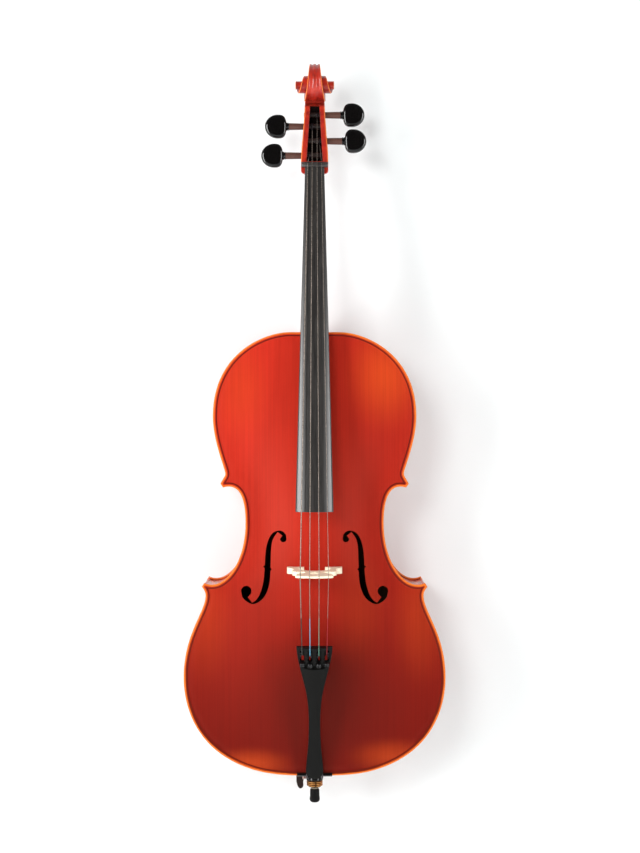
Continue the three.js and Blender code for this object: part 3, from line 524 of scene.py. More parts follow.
# ---- Materials ----
class Finish:
    """A procedural material, built up node by node from the object's own coordinates."""

    def __init__(self, name):
        self.mat = bpy.data.materials.new(name)
        self.mat.use_nodes = True
        self.tree = self.mat.node_tree
        self.bsdf = self.tree.nodes["Principled BSDF"]
        self.place = self.node("TexCoord").outputs["Object"]

    def node(self, kind, inputs=None, **settings):
        node = self.tree.nodes.new("ShaderNode" + kind)
        for key, value in settings.items():
            setattr(node, key, value)
        for key, value in (inputs or {}).items():
            self.feed(node.inputs[key], value)
        return node

    def feed(self, socket, value):
        if isinstance(value, bpy.types.NodeSocket):
            self.tree.links.new(value, socket)
        else:
            socket.default_value = value

    def axes(self):
        parts = self.node("SeparateXYZ", {"Vector": self.place})
        return parts.outputs["X"], parts.outputs["Y"], parts.outputs["Z"]

    def math(self, operation, a, b=0.0, clamp=False):
        return self.node("Math", {0: a, 1: b}, operation=operation, use_clamp=clamp).outputs[0]

    def between(self, value, low, high):
        """0 below low and 1 above high, smooth in between."""
        inputs = {"Value": value, "From Min": low, "From Max": high}
        return self.node("MapRange", inputs, interpolation_type="SMOOTHSTEP").outputs["Result"]

    def mix(self, factor, a, b, blend="MIX"):
        node = self.node("Mix", data_type="RGBA", blend_type=blend)
        self.feed(node.inputs["Factor"], factor)
        colours = [socket for socket in node.inputs if socket.type == "RGBA"]
        self.feed(colours[0], a)
        self.feed(colours[1], b)
        return [socket for socket in node.outputs if socket.type == "RGBA"][0]

    def tint(self, colour, tone, mask, strength):
        """Lays a tone over a colour where the mask is 1, as strongly as asked."""
        return self.mix(self.math("MULTIPLY", mask, strength), colour, tone)

    def wobble(self, scale, reach):
        """Uneven shift of an edge, by up to half the reach either way."""
        return self.math("MULTIPLY", self.math("SUBTRACT", self.noise(scale), 0.5), reach)

    def noise(self, scale, stretch=(1, 1, 1), detail=3.0, roughness=0.5, distortion=0.0):
        vector = self.node("Mapping", {"Vector": self.place, "Scale": stretch}).outputs["Vector"]
        inputs = {"Vector": vector, "Scale": scale, "Detail": detail, "Roughness": roughness,
                  "Distortion": distortion}
        return self.node("TexNoise", inputs).outputs["Fac"]

    def spot(self, centre, size):
        """1 at a place in millimetres (x, z), fading to 0 at the size given for each direction."""
        x, _, z = self.axes()
        u = self.math("DIVIDE", self.math("SUBTRACT", x, centre[0] * MM), size[0] * MM)
        v = self.math("DIVIDE", self.math("SUBTRACT", z, centre[1] * MM), size[1] * MM)
        squared = self.math("ADD", self.math("MULTIPLY", u, u), self.math("MULTIPLY", v, v))
        return self.between(self.math("SQRT", squared), 1.0, 0.0)

    def inset(self):
        return self.node("Attribute", attribute_name="inset").outputs["Fac"]

    def bump(self, height, strength, distance=0.0005):
        inputs = {"Height": height, "Strength": strength, "Distance": distance}
        self.feed(self.bsdf.inputs["Normal"], self.node("Bump", inputs).outputs["Normal"])

    def surface(self, **inputs):
        for key, value in inputs.items():
            self.feed(self.bsdf.inputs[key.replace("_", " ")], value)
        return self.mat


def rgb(red, green, blue):
    """A colour from its usual 0 to 255 screen values."""
    def linear(c):
        c /= 255
        return c / 12.92 if c <= 0.04045 else ((c + 0.055) / 1.055) ** 2.4
    return (linear(red), linear(green), linear(blue), 1.0)


RED_VARNISH = rgb(196, 45, 30)
DEEP_VARNISH_AND_SHADE = rgb(110, 15, 9)
DARK_VARNISH_AND_SHADE = rgb(80, 9, 7)
ORANGE_VARNISH = rgb(226, 84, 30)
GOLDEN_EDGE = rgb(232, 118, 42)
PURFLING_DARK = rgb(92, 24, 15)
VARNISH_SHEEN = (1.0, 0.45, 0.32, 1.0)
# Distances in from an edge: where wear fades out and is full, and where the inlay starts and ends.
BODY_WEAR = (4.0, 1.8)
NECK_WEAR = (3.8, 1.6)
INLAY_START = (4.6, 5.2)
INLAY_END = (7.4, 6.8)


def edge_work(finish, colour):
    """The worn golden border and the dark inlaid line beside it."""
    inset = finish.inset()
    worn = finish.between(finish.math("ADD", inset, finish.wobble(35.0, 2.2)), *BODY_WEAR)
    colour = finish.mix(worn, colour, GOLDEN_EDGE)
    line_in = finish.between(inset, *INLAY_START)
    line_out = finish.between(inset, *INLAY_END)
    return finish.tint(colour, PURFLING_DARK, line_in, line_out)


# Painted shade over the lower middle, then orange patches: tone, centre (x, z), reach, strength.
SHADE_AND_ORANGE_PATCHES = [
    # painted shade over the lower middle of the belly
    (DARK_VARNISH_AND_SHADE, (25, 190), (170, 200), 0.75),
    (ORANGE_VARNISH, (120, 740), (80, 110), 0.48),
    (ORANGE_VARNISH, (-125, 715), (60, 110), 0.2),
    (ORANGE_VARNISH, (75, 350), (60, 130), 0.1),
    (ORANGE_VARNISH, (180, 330), (60, 140), 0.2),
    (ORANGE_VARNISH, (-185, 330), (60, 140), 0.16),
    (ORANGE_VARNISH, (-108, 78), (85, 36), 0.42),
    (ORANGE_VARNISH, (132, 92), (90, 38), 0.36),
]
SHADE_FADE_HEIGHTS = (0.08, 0.64)  # heights in metres over which the painted shade of the lower belly fades into the red
SHADED_SIDE = (-0.05, 0.09)  # x in metres over which the right side takes on painted shade
SHADED_STRENGTH = 0.42


def spruce_varnish():
    """Red varnish over fine straight spruce grain, with painted shade: darker towards the bottom, where the
    varnish is also deeper, and darker on the right side.
    """
    finish = Finish("spruce varnish")
    x, _, z = finish.axes()
    # painted shade: darker towards the bottom, partly the varnish's own deeper tone
    colour = finish.mix(finish.between(z, *SHADE_FADE_HEIGHTS), DEEP_VARNISH_AND_SHADE, RED_VARNISH)
    # painted shade on the right side, away from the key light
    colour = finish.tint(colour, DEEP_VARNISH_AND_SHADE, finish.between(x, *SHADED_SIDE), SHADED_STRENGTH)
    for tone, centre, size, strength in SHADE_AND_ORANGE_PATCHES:
        colour = finish.tint(colour, tone, finish.spot(centre, size), strength)
    cloud = finish.between(finish.noise(9.0, (1, 1, 0.6)), 0.35, 0.75)
    colour = finish.tint(colour, DEEP_VARNISH_AND_SHADE, cloud, 0.16)
    grain = finish.between(finish.noise(520.0, (1, 0.05, 0.01), detail=2.0), 0.35, 0.65)
    shade_by = finish.math("ADD", finish.math("MULTIPLY", grain, 0.10), 0.93)
    level = finish.node("CombineColor", {0: shade_by, 1: shade_by, 2: shade_by}).outputs[0]
    colour = edge_work(finish, finish.mix(1.0, colour, level, "MULTIPLY"))
    finish.bump(grain, 0.03)
    return finish.surface(Base_Color=colour, Roughness=0.4, Specular_IOR_Level=0.28,
                          Specular_Tint=VARNISH_SHEEN)


def maple_varnish(name, across):
    """Red varnish over flamed maple; across gives the stripes' direction as (x, y, z) stretches."""
    finish = Finish(name)
    stripes = finish.noise(16.0, across, detail=4.0, roughness=0.6, distortion=0.6)
    flame = finish.between(stripes, 0.38, 0.62)
    colour = finish.mix(flame, rgb(122, 22, 12), rgb(190, 54, 24))
    pores = finish.between(finish.noise(900.0, (1, 1, 0.08)), 0.42, 0.6)
    return finish, finish.tint(colour, DEEP_VARNISH_AND_SHADE, pores, 0.18)


def back_varnish():
    finish, colour = maple_varnish("back varnish", (0.28, 0.28, 1.9))
    colour = edge_work(finish, colour)
    return finish.surface(Base_Color=colour, Roughness=0.4, Coat_Weight=0.6, Coat_Roughness=0.14)


def rib_varnish():
    """Flame across the strip, running round the body with the rib's own length."""
    finish = Finish("rib varnish")
    along = finish.math("MULTIPLY", finish.node("Attribute", attribute_name="along").outputs["Fac"], 0.055)
    _, depth, _ = finish.axes()
    vector = finish.node("CombineXYZ", {"X": along, "Y": finish.math("MULTIPLY", depth, 9.0)}).outputs[0]
    flame = finish.node("TexNoise", {"Vector": vector, "Scale": 2.2, "Detail": 3.0}).outputs["Fac"]
    colour = finish.mix(finish.between(flame, 0.38, 0.62), rgb(146, 26, 12), rgb(214, 70, 24))
    return finish.surface(Base_Color=colour, Roughness=0.4, Coat_Weight=0.6, Coat_Roughness=0.14)


def neck_varnish():
    finish, colour = maple_varnish("neck varnish", (0.5, 0.5, 2.2))
    colour = finish.mix(0.5, colour, rgb(190, 38, 28))
    streaks = finish.between(finish.noise(170.0, (1, 1, 0.07)), 0.52, 0.7)
    colour = finish.tint(colour, DARK_VARNISH_AND_SHADE, streaks, 0.55)
    worn = finish.between(finish.math("ADD", finish.inset(), finish.wobble(60.0, 3.0)), *NECK_WEAR)
    colour = finish.mix(worn, colour, GOLDEN_EDGE)
    # black stain inside the pegbox, and half of it as painted shade over the throat
    stain_and_shade = finish.between(finish.inset(), BLACKENED * 0.4, BLACKENED * 0.6)
    colour = finish.mix(stain_and_shade, colour, rgb(18, 12, 11))
    gloss = finish.math("SUBTRACT", 1.0, stain_and_shade)
    return finish.surface(Base_Color=colour, Roughness=0.4, Coat_Roughness=0.12,
                          Specular_IOR_Level=finish.math("MULTIPLY", gloss, 0.4),
                          Coat_Weight=finish.math("MULTIPLY", gloss, 0.35))


def shaded_bare_spruce():
    """Unvarnished wood, darkened as painted shade, seen only inside the body and on the sound-hole walls."""
    finish = Finish("bare wood in painted shade")
    streaks = finish.noise(260.0, (1, 1, 0.05))
    colour = finish.mix(finish.between(streaks, 0.35, 0.65), rgb(62, 42, 28), rgb(92, 64, 42))
    return finish.surface(Base_Color=colour, Roughness=0.8, Specular_IOR_Level=0.1)


# ---- Body ----
def make_belly(shaded_inside_wood):
    holes = [sound_hole(-1), sound_hole(1)]
    obj = make_plate("belly_plate", 1, ARCH, OUTLINE, holes, [spruce_varnish(), shaded_inside_wood])
    return finish_piece(obj, "root", ["belly"])


def make_back(shaded_inside_wood):
    obj = make_plate("back_plate", -1, BACK_ARCH, back_outline(), [], [back_varnish(), shaded_inside_wood])
    return finish_piece(obj, "root", ["back"])


# ---- Ribs ----
RIB_STEP = 3.0
MEET_WITHIN = 30  # points at each rib's end searched for the crossing


def offset_line(line, distance):
    tangent = np.gradient(line, axis=0)
    tangent /= np.linalg.norm(tangent, axis=1)[:, None]
    return line + np.stack([-tangent[:, 1], tangent[:, 0]], axis=1) * distance


def meet(first, second):
    """Cuts two lines where the first's end crosses the second's start, and joins them there."""
    for i in range(len(first) - 2, max(len(first) - MEET_WITHIN, 0), -1):
        for j in range(0, min(MEET_WITHIN, len(second) - 1)):
            a, b = first[i], first[i + 1] - first[i]
            c, d = second[j], second[j + 1] - second[j]
            cross = b[0] * d[1] - b[1] * d[0]
            if abs(cross) < 1e-9:
                continue
            s = ((c - a)[0] * d[1] - (c - a)[1] * d[0]) / cross
            t = ((c - a)[0] * b[1] - (c - a)[1] * b[0]) / cross
            if 0 <= s <= 1 and 0 <= t <= 1:
                point = (a + s * b)[None, :]
                return np.concatenate([first[:i + 1], point]), np.concatenate([point, second[j + 1:]])
    return first, second


def rib_lines():
    """The three ribs of the right side, as lines seen from the front."""
    bouts = (LOWER_BOUT, WAIST, UPPER_BOUT)
    lower, waist, upper = (offset_line(stretch_line(bout, RIB_STEP), OVERHANG) for bout in bouts)
    lower, waist = meet(lower, waist)
    waist, upper = meet(waist, upper)
    return {"lower": lower, "waist": waist, "upper": upper}


def make_ribs():
    mat = rib_varnish()
    for part, line in rib_lines().items():
        inner = offset_line(line, RIB_THICKNESS)
        steps = np.linalg.norm(np.diff(line, axis=0), axis=1)
        along = np.concatenate([[0], np.cumsum(steps)])
        for side, side_name in ((1, "right"), (-1, "left")):
            rings = [[place(side * x, RIB_HALF, z + BODY_BOTTOM), place(side * x, -RIB_HALF, z + BODY_BOTTOM),
                      place(side * u, -RIB_HALF, v + BODY_BOTTOM), place(side * u, RIB_HALF, v + BODY_BOTTOM)]
                     for (x, z), (u, v) in zip(line, inner)]
            verts, faces = loft(rings)
            obj = new_object(f"{part}_rib_{side_name}_skin", verts, faces, mat, 50)
            mark_points(obj, "along", np.concatenate([np.repeat(along, 4), [along[0], along[-1]]]))
            finish_piece(obj, "root", [f"{part}_rib_{side_name}"])


# ---- Neck, pegbox and scroll: one carved piece ----
NECK_PLANE = 83.0  # forward place of the neck's flat face at the body's top
NECK_TILT = 0.162
NECK_ROOT = 804.0
NECK_BACK = [(800, -57.6), (814, -57.6), (825, -57.6), (832, -53), (841, -36), (850, 0), (861, 34),
             (876, 46), (904, 46), (1000, 32), (1060, 22), (1098, 16.5)]
HEAD_BACK = [(1085, 18.2), (1094, 16.5), (1105, 9), (1120, 0), (1145, -9), (1175, -18), (1200, -27),
             (1212, -33.8), (1220, -39.5), (1228, -44.5)]
HEAD_BACK_FROM = 1090
HEEL_BLEND = (824, 872)  # heights between which the heel's square section becomes round
HEAD_BLEND = (1080, 1100)  # and the round section becomes the head's square one
FLUTE_BLEND = (1110, 1160)
HEEL_CORNER = 8.0
HEAD_CORNER = 5.0
HEAD_FLUTE = 2.2
SECTION_POINTS = 45
CHEEK_START = 1087.4
CHEEK_ROUND = 5.0
HEAD_HALF = [(1086, 23.2), (1100, 23.4), (1119, 23.3), (1155, 20.9), (1191, 18.5), (1213, 17.5),
             (1222, 17)]
TROUGH_FLOOR = [(1109, 16), (1116, 11), (1150, 0), (1186, -12), (1202, -13), (1210, -8)]
TROUGH_LOW = 1109.5
TROUGH_HIGH = 1212.5
TROUGH_HALF_LOW = 13.8
TROUGH_HALF_HIGH = 8.0
HEAD_FACE_SLOPE = 0.39
HEEL_BACK_HALF = 14.0
FACE_TOP = 1214.0
THROAT_SLOPE = 1.5  # how steeply the face falls to the scroll above FACE_TOP
THROAT_LENGTH = 6
HEAD_TOP = 1227.0
EDGE_CHAMFER = 1.4
TROUGH_FILLET = 1.5
# Above THROAT the pegbox's front carries half the black stain's mark: painted shade under the scroll.
THROAT = 1212.0
THROAT_SHADE = 0.5
BLACKENED = 40.0  # mark carried by the blackened inside of the pegbox
UNWORN = 12.0  # mark carried by points well away from any worn edge
BOARD_HALF_TOP, BOARD_TOP = 16.5, 1098
BOARD_HALF_END, BOARD_END = 31.5, 512
BOARD_CREST, BOARD_CREST_AT, BOARD_SLOPE = 96, 814, 0.1725


def board_half(z):
    return BOARD_HALF_TOP + (BOARD_TOP - z) * (BOARD_HALF_END - BOARD_HALF_TOP) / (BOARD_TOP - BOARD_END)


def board_crest(z):
    return BOARD_CREST - BOARD_SLOPE * (z - BOARD_CREST_AT)


def neck_face(z):
    return NECK_PLANE - NECK_TILT * (z - BODY_TOP)


def head_face(z):
    """Forward place of the pegbox's front edges."""
    straight = neck_face(NUT_HIGH) - HEAD_FACE_SLOPE * (min(z, FACE_TOP) - NUT_HIGH)
    return straight - THROAT_SLOPE * max(min(z, FACE_TOP + THROAT_LENGTH) - FACE_TOP, 0)


def round_section(half, front, back, count):
    t = np.linspace(0, math.pi, count)
    return np.stack([half * np.cos(t), front + (back - front) * np.sin(t) ** 0.85], axis=1)


def box_section(half, back_half, front, back, corner, flute, count):
    """Down one flat side, round the corner, across the fluted back and up the other side."""
    sides = count // 3
    down = np.stack([np.linspace(half, back_half, sides), np.linspace(front, back + corner, sides)], axis=1)
    x = np.linspace(back_half, -back_half, count - 2 * sides + 2)[1:-1]
    near_edge = np.clip((corner - (back_half - np.abs(x))) / corner, 0, 1)
    across = back + corner * (1 - np.sqrt(1 - near_edge**2)) + flute * np.sin(math.pi * x / back_half) ** 2
    up = down[::-1] * np.array([-1, 1])
    return np.concatenate([down, np.stack([x, across], axis=1), up])


def smooth_step(x, low, high):
    t = np.clip((x - low) / (high - low), 0, 1)
    return t * t * (3 - 2 * t)


def neck_half(z):
    """Half width of the neck, stepping out round the cheeks below the nut."""
    if z < CHEEK_START:
        return board_half(z)
    wide = float(through(HEAD_HALF, z))
    short = 1 - min((z - CHEEK_START) / CHEEK_ROUND, 1)
    return wide - CHEEK_ROUND * (1 - math.sqrt(1 - short**2))


def neck_ring(z, hollow):
    """One level of the neck and pegbox, with how near each point is to a worn edge, and marks for the pegbox's
    black stain and the throat's painted shade.
    """
    in_head = smooth_step(z, *HEAD_BLEND)
    in_heel = 1 - smooth_step(z, *HEEL_BLEND)
    front = neck_face(z) if z < NUT_HIGH else head_face(z)
    back = float(through(NECK_BACK if z < HEAD_BACK_FROM else HEAD_BACK, z))
    half = neck_half(z)
    eased = front - EDGE_CHAMFER
    flute = HEAD_FLUTE * smooth_step(z, *FLUTE_BLEND)
    rounded = round_section(half, eased, back, SECTION_POINTS)
    heel = box_section(half, HEEL_BACK_HALF, eased, back, HEEL_CORNER, 0.0, SECTION_POINTS)
    head = box_section(half, half, eased, back, HEAD_CORNER, flute, SECTION_POINTS)
    outer = rounded * (1 - in_head) * (1 - in_heel) + heel * in_heel * (1 - in_head) + head * in_head
    wall = half - EDGE_CHAMFER
    trough = float(np.interp(z, (TROUGH_LOW, TROUGH_HIGH), (TROUGH_HALF_LOW, TROUGH_HALF_HIGH)))
    trough = min(trough, wall - 2)
    floor = float(through(TROUGH_FLOOR, z)) if hollow else front
    rim = trough + EDGE_CHAMFER * 0.7
    lip = front - EDGE_CHAMFER * 0.7 if hollow else front
    fillet = TROUGH_FILLET if hollow else 0.0
    half_front = [(wall, front), (wall - EDGE_CHAMFER, front), (rim, front), (trough, lip),
                  (trough, lip - fillet), (trough, floor + fillet), (trough - fillet, floor), (0, floor)]
    front_line = [(-x, f) for x, f in half_front] + half_front[-2::-1]
    worn = [UNWORN] * SECTION_POINTS
    edge = UNWORN
    if z > NUT_HIGH:
        worn[0] = worn[-1] = edge = 0.0
    half_wear_and_shade = [edge] + [UNWORN] * 3 + [BLACKENED if hollow else UNWORN] * 4
    # painted shade in the throat under the scroll
    if z > THROAT:
        half_wear_and_shade = [BLACKENED * THROAT_SHADE] * len(half_wear_and_shade)
    ring = [place(x, f, z) for x, f in list(outer) + front_line]
    return ring, worn + half_wear_and_shade + half_wear_and_shade[-2::-1]


def neck_levels():
    """Heights of the neck's sections from the heel up, with whether the pegbox is hollow there."""
    levels = [(z, False) for z in np.arange(NECK_ROOT, HEAD_BLEND[0], 6.0)]
    levels += [(z, False) for z in (HEAD_BLEND[0], CHEEK_START - 2, CHEEK_START - 0.1)]
    levels += [(CHEEK_START + step, False) for step in (0.05, 0.4, 1.0, 2.0, 3.4, 5.2, 8, 12, 16, 19)]
    levels += [(TROUGH_LOW - 0.5, False), (TROUGH_LOW, True)]
    levels += [(z, True) for z in np.arange(TROUGH_LOW + 4, TROUGH_HIGH - 1, 4.0)]
    levels += [(TROUGH_HIGH, True), (TROUGH_HIGH + 0.5, False), (FACE_TOP, False)]
    levels += [(z, False) for z in np.arange(FACE_TOP + 3, HEAD_TOP, 3.0)]
    return levels


SCROLL_FORWARD = -18.0
SCROLL_Z = 1250.5
SCROLL_START = -50
SCROLL_END = 810
SCROLL_RIM_END = 330  # where the next turn starts to cover the rim
SCROLL_STEP = 5
EYE_RADIUS = 7.6
EYE_HALF = 33.8
# By degrees turned: distance from the scroll's axis and half width.
SCROLL_RADIUS = [(-60, 38), (0, 36.3), (90, 37.8), (180, 33), (270, 28), (360, 21.5), (450, 17),
                 (540, 15.5), (630, 13.8), (720, 10.8), (810, EYE_RADIUS), (1170, EYE_RADIUS)]
SCROLL_HALF = [(-60, 16.5), (0, 12), (90, 8.9), (180, 12.6), (270, 18.6), (360, 18.4), (450, 18.8),
               (540, 23.5), (630, 29), (720, 32.5), (810, EYE_HALF), (1170, EYE_HALF)]
SCROLL_FLUTE = 1.8


def scroll_point(x, radius, degrees):
    turn = math.radians(degrees)
    return place(x, SCROLL_FORWARD - radius * math.cos(turn), SCROLL_Z + radius * math.sin(turn))


def scroll_side(side):
    """The winding face of one side: rim, bed, then the wall of the next turn inwards."""
    verts, worn = [], []
    turns = range(SCROLL_START, SCROLL_END - 10, SCROLL_STEP)
    for degrees in turns:
        radius = float(through(SCROLL_RADIUS, degrees))
        half = float(through(SCROLL_HALF, degrees))
        next_radius = float(through(SCROLL_RADIUS, degrees + 360))
        next_half = float(through(SCROLL_HALF, degrees + 360))
        band = radius - next_radius
        dip = min(1.5, band * 0.12)
        section = [(half - 1.0, radius, 0), (half, radius - 1.0, 0), (half - 0.1, radius - 2.6, 9),
                   (half - dip, radius - band * 0.45, UNWORN),
                   (half - dip * 1.3, next_radius + band * 0.16, UNWORN),
                   (half - dip, next_radius, UNWORN), (next_half - 2.6, next_radius, UNWORN),
                   (next_half - 1.0, next_radius, 0)]
        for x, r, edge in section:
            verts.append(scroll_point(side * x, r, degrees))
            worn.append(edge)
    return verts, grid_faces(len(turns), len(section)), worn


def scroll_eye(side):
    """The flat end of the scroll's last turn."""
    turns = np.arange(0, 360, 10)
    verts, worn = [], []
    for x, radius, edge in ((EYE_HALF - 0.9, EYE_RADIUS + 0.1, 0), (EYE_HALF, EYE_RADIUS - 0.9, 0),
                            (EYE_HALF, EYE_RADIUS - 2.4, 9)):
        verts.extend(scroll_point(side * x, radius, degrees) for degrees in turns)
        worn.extend([edge] * len(turns))
    count = len(turns)
    faces = []
    for k in range(2):
        for i in range(count):
            j = (i + 1) % count
            faces.append((k * count + i, k * count + j, (k + 1) * count + j, (k + 1) * count + i))
    verts.append(scroll_point(side * (EYE_HALF - 0.4), 0, 0))
    worn.append(UNWORN)
    faces.extend((2 * count + i, 2 * count + (i + 1) % count, len(verts) - 1) for i in range(count))
    return verts, faces, worn


def scroll_rim():
    """The outer strip of the first turn, fluted on both sides of its middle ridge."""
    turns = range(SCROLL_START, SCROLL_RIM_END, SCROLL_STEP)
    across = np.linspace(-1, 1, 17)
    verts, worn = [], []
    for degrees in turns:
        radius = float(through(SCROLL_RADIUS, degrees))
        half = float(through(SCROLL_HALF, degrees)) - 1.0
        for u in across:
            verts.append(scroll_point(u * half, radius - SCROLL_FLUTE * math.sin(math.pi * u) ** 2, degrees))
            worn.append(0 if abs(u) == 1 else UNWORN)
    return verts, grid_faces(len(turns), len(across)), worn


def make_neck():
    rings, worn = zip(*[neck_ring(z, hollow) for z, hollow in neck_levels()])
    parts = [loft(list(rings))]
    marks = [w for ring in worn for w in ring] + [UNWORN, UNWORN]
    scroll = (scroll_side(1), scroll_side(-1), scroll_eye(1), scroll_eye(-1), scroll_rim())
    for verts, faces, part_worn in scroll:
        parts.append((verts, faces))
        marks.extend(part_worn)
    obj = new_object("neck_and_scroll", *join_meshes(parts), neck_varnish(), 38)
    mark_points(obj, "inset", marks)
    return finish_piece(obj, "root", ["neck"])


# ---- Fittings: materials ----
# Fine speckle between two tones: noise scale and stretch, low and high tone, surface settings.
SPECKLED = {
    "gloss ebony": (90.0, (1, 1, 1), (6, 5, 5), (12, 10, 10),
                    {"Roughness": 0.1, "Specular_IOR_Level": 0.5}),
    "thumbscrew wood": (260.0, (5, 1, 1), (26, 17, 14), (46, 30, 25),
                        {"Roughness": 0.4, "Specular_IOR_Level": 0.2}),
    "tailpiece composite": (700.0, (1, 1, 1), (12, 12, 11), (21, 20, 19),
                            {"Roughness": 0.34, "Specular_IOR_Level": 0.12}),
    "tuner black": (900.0, (1, 1, 1), (14, 14, 15), (28, 28, 30),
                    {"Roughness": 0.22, "Metallic": 0.35}),
    "tailgut cord": (800.0, (1, 1, 1), (36, 30, 34), (74, 64, 68),
                     {"Roughness": 0.4}),
    "tip rubber": (500.0, (1, 1, 1), (7, 7, 7), (14, 13, 13),
                   {"Roughness": 0.5, "Specular_IOR_Level": 0.15}),
}


def speckled(name):
    scale, stretch, low, high, settings = SPECKLED[name]
    finish = Finish(name)
    colour = finish.mix(finish.noise(scale, stretch), rgb(*low), rgb(*high))
    return finish.surface(Base_Color=colour, **settings)


def satin_board():
    """Ebony board, polished to a soft grey sheen with fine lengthwise streaks."""
    finish = Finish("board ebony")
    streaks = finish.noise(500.0, (1, 0.2, 0.01), detail=3.0)
    colour = finish.mix(finish.between(streaks, 0.35, 0.7), rgb(36, 34, 33), rgb(54, 51, 49))
    finish.bump(streaks, 0.03)
    return finish.surface(Base_Color=colour, Roughness=0.3, Specular_IOR_Level=1.0)


def peg_wood():
    """The pegs' shafts: brown, with fine turned rings, and painted shade where they lie inside the pegbox."""
    finish = Finish("peg shaft")
    colour = finish.mix(finish.noise(300.0, (6, 1, 1)), rgb(62, 38, 31), rgb(104, 68, 57))
    x, _, _ = finish.axes()
    # painted shade on the shafts inside the pegbox
    pegbox_shade = finish.between(finish.math("ABSOLUTE", x), 0.017, 0.014)
    colour = finish.mix(pegbox_shade, colour, rgb(34, 22, 19))
    return finish.surface(Base_Color=colour, Roughness=0.45)


def bridge_maple():
    """Pale quarter-cut maple with short dark flecks."""
    finish = Finish("bridge maple")
    flecks = finish.noise(420.0, (0.12, 1, 1), detail=2.0)
    colour = finish.mix(finish.between(flecks, 0.6, 0.75), rgb(255, 243, 214), rgb(226, 190, 150))
    return finish.surface(Base_Color=colour, Roughness=0.5)


def metal(name, low, high, roughness):
    finish = Finish(name)
    colour = finish.mix(finish.noise(600.0), low, high)
    return finish.surface(Base_Color=colour, Roughness=roughness, Metallic=1.0)


def string_metal(name, silk, silk_low, silk_high):
    """Wound steel, wrapped with coloured silk at both ends; at the peg end the silk is painted dark as shade.
    """
    finish = Finish(name)
    _, _, z = finish.axes()
    winding = finish.between(finish.noise(2600.0, (0.05, 0.05, 1)), 0.4, 0.6)
    colour = finish.mix(winding, rgb(104, 92, 82), rgb(172, 160, 150))
    ends = finish.math("MAXIMUM", finish.math("LESS_THAN", z, silk_low * MM),
                       finish.math("GREATER_THAN", z, silk_high * MM))
    colour = finish.mix(ends, colour, silk)
    # painted shade: from the peg end's silk up to the peg the string is dark
    colour = finish.mix(finish.math("GREATER_THAN", z, silk_high * MM), colour, rgb(40, 36, 38))
    bare = finish.math("SUBTRACT", 1.0, ends)
    return finish.surface(Base_Color=colour, Roughness=0.32, Metallic=finish.math("MULTIPLY", bare, 0.8))


# ---- Pegs ----
# Side of the grip and its inner end.
PEGS = {"c": (-1, 54.8), "a": (1, 51.8), "g": (-1, 49.0), "d": (1, 49.2)}
GRIP_LENGTH = 37.8
GRIP_HALF_HEIGHT = 20.6
# The thumb piece's section: part of the outline's size and distance from its middle plane.
GRIP_SECTION = [(0.7, 6.5), (0.76, 6.45), (0.79, 6.3), (0.88, 5.55), (0.92, 5.1), (0.965, 4.2), (0.99, 2.9),
                (1.0, 1.3)]
SHAFT_RADIUS = 5.9
# The turned collar: radius and distance out from the grip's inner end.
PEG_COLLAR = [(5.9, -4.4), (6.7, -4.1), (6.9, -3.5), (6.7, -2.9), (5.9, -2.6), (5.9, -2.2), (7.0, -1.6),
              (7.2, -0.6), (6.6, 0.6), (5.5, 1.6), (4, 3)]
COIL_TURNS = 3
COIL_POINTS = 24  # to each turn
COIL_PITCH = 2.1  # string radii from one turn to the next


def peg_axis(name):
    """(forward, z) of a peg's axis."""
    low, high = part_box("peg_" + name)
    return -(low[1] + high[1]) / 2 / MM, (low[2] + high[2]) / 2 / MM


def grip_outline(inner, steps=48):
    """A rounded thumb piece: blunt towards the box, half round outside."""
    middle = inner + GRIP_LENGTH * 0.42
    line = []
    for k in range(steps):
        a = 2 * math.pi * k / steps
        c, s = math.cos(a), math.sin(a)
        if c > 0:
            line.append((middle + (inner + GRIP_LENGTH - middle) * c, GRIP_HALF_HEIGHT * s))
        else:
            height = math.copysign(abs(s) ** 0.8, s)
            line.append((middle - (middle - inner) * abs(c) ** 0.62, GRIP_HALF_HEIGHT * height))
    return line


def grip(side, inner, forward, z):
    line = grip_outline(inner)
    middle = inner + GRIP_LENGTH * 0.45
    rings = []
    for shrink, level in GRIP_SECTION + [(shrink, -level) for shrink, level in GRIP_SECTION[::-1]]:
        rings.append([place(side * (middle + (u - middle) * shrink), forward + level, z + v * shrink)
                      for u, v in line])
    return loft(rings)


def coil(centre_x, radius, string_radius, forward, z):
    """A string's last turns round a peg."""
    count = COIL_TURNS * COIL_POINTS
    points = []
    for k in range(count + 1):
        a = 2 * math.pi * k / COIL_POINTS
        x = centre_x + (k / count - 0.5) * COIL_TURNS * string_radius * COIL_PITCH
        points.append(place(x, forward + radius * math.cos(a), z + radius * math.sin(a)))
    return tube(points, string_radius * MM, 8)


def make_peg(name):
    side, inner = PEGS[name]
    forward, z = peg_axis(name)
    low, high = span("peg_" + name, 0)
    far = low if side > 0 else -high
    shaft = [(0.2, far), (4.2, far), (4.7, far + 0.5), (5.4, 16), (6.0, inner - 5.4), (6.0, inner - 4.4)]
    collar = [(r, inner + out) for r, out in PEG_COLLAR]
    shaft_mesh = spin([(r, side * u) for r, u in shaft], (forward, z), "X", 36)
    collar_mesh = spin([(r, side * u) for r, u in collar], (forward, z), "X", 36)
    parts = [(*shaft_mesh, 1), (*collar_mesh, 0), (*grip(side, inner, forward, z), 0)]
    obj = assemble(f"peg_{name}_turned", parts, [GLOSS_EBONY, PEG_WOOD], 35)
    finish_piece(obj, f"peg_{name}", [f"peg_{name}"])


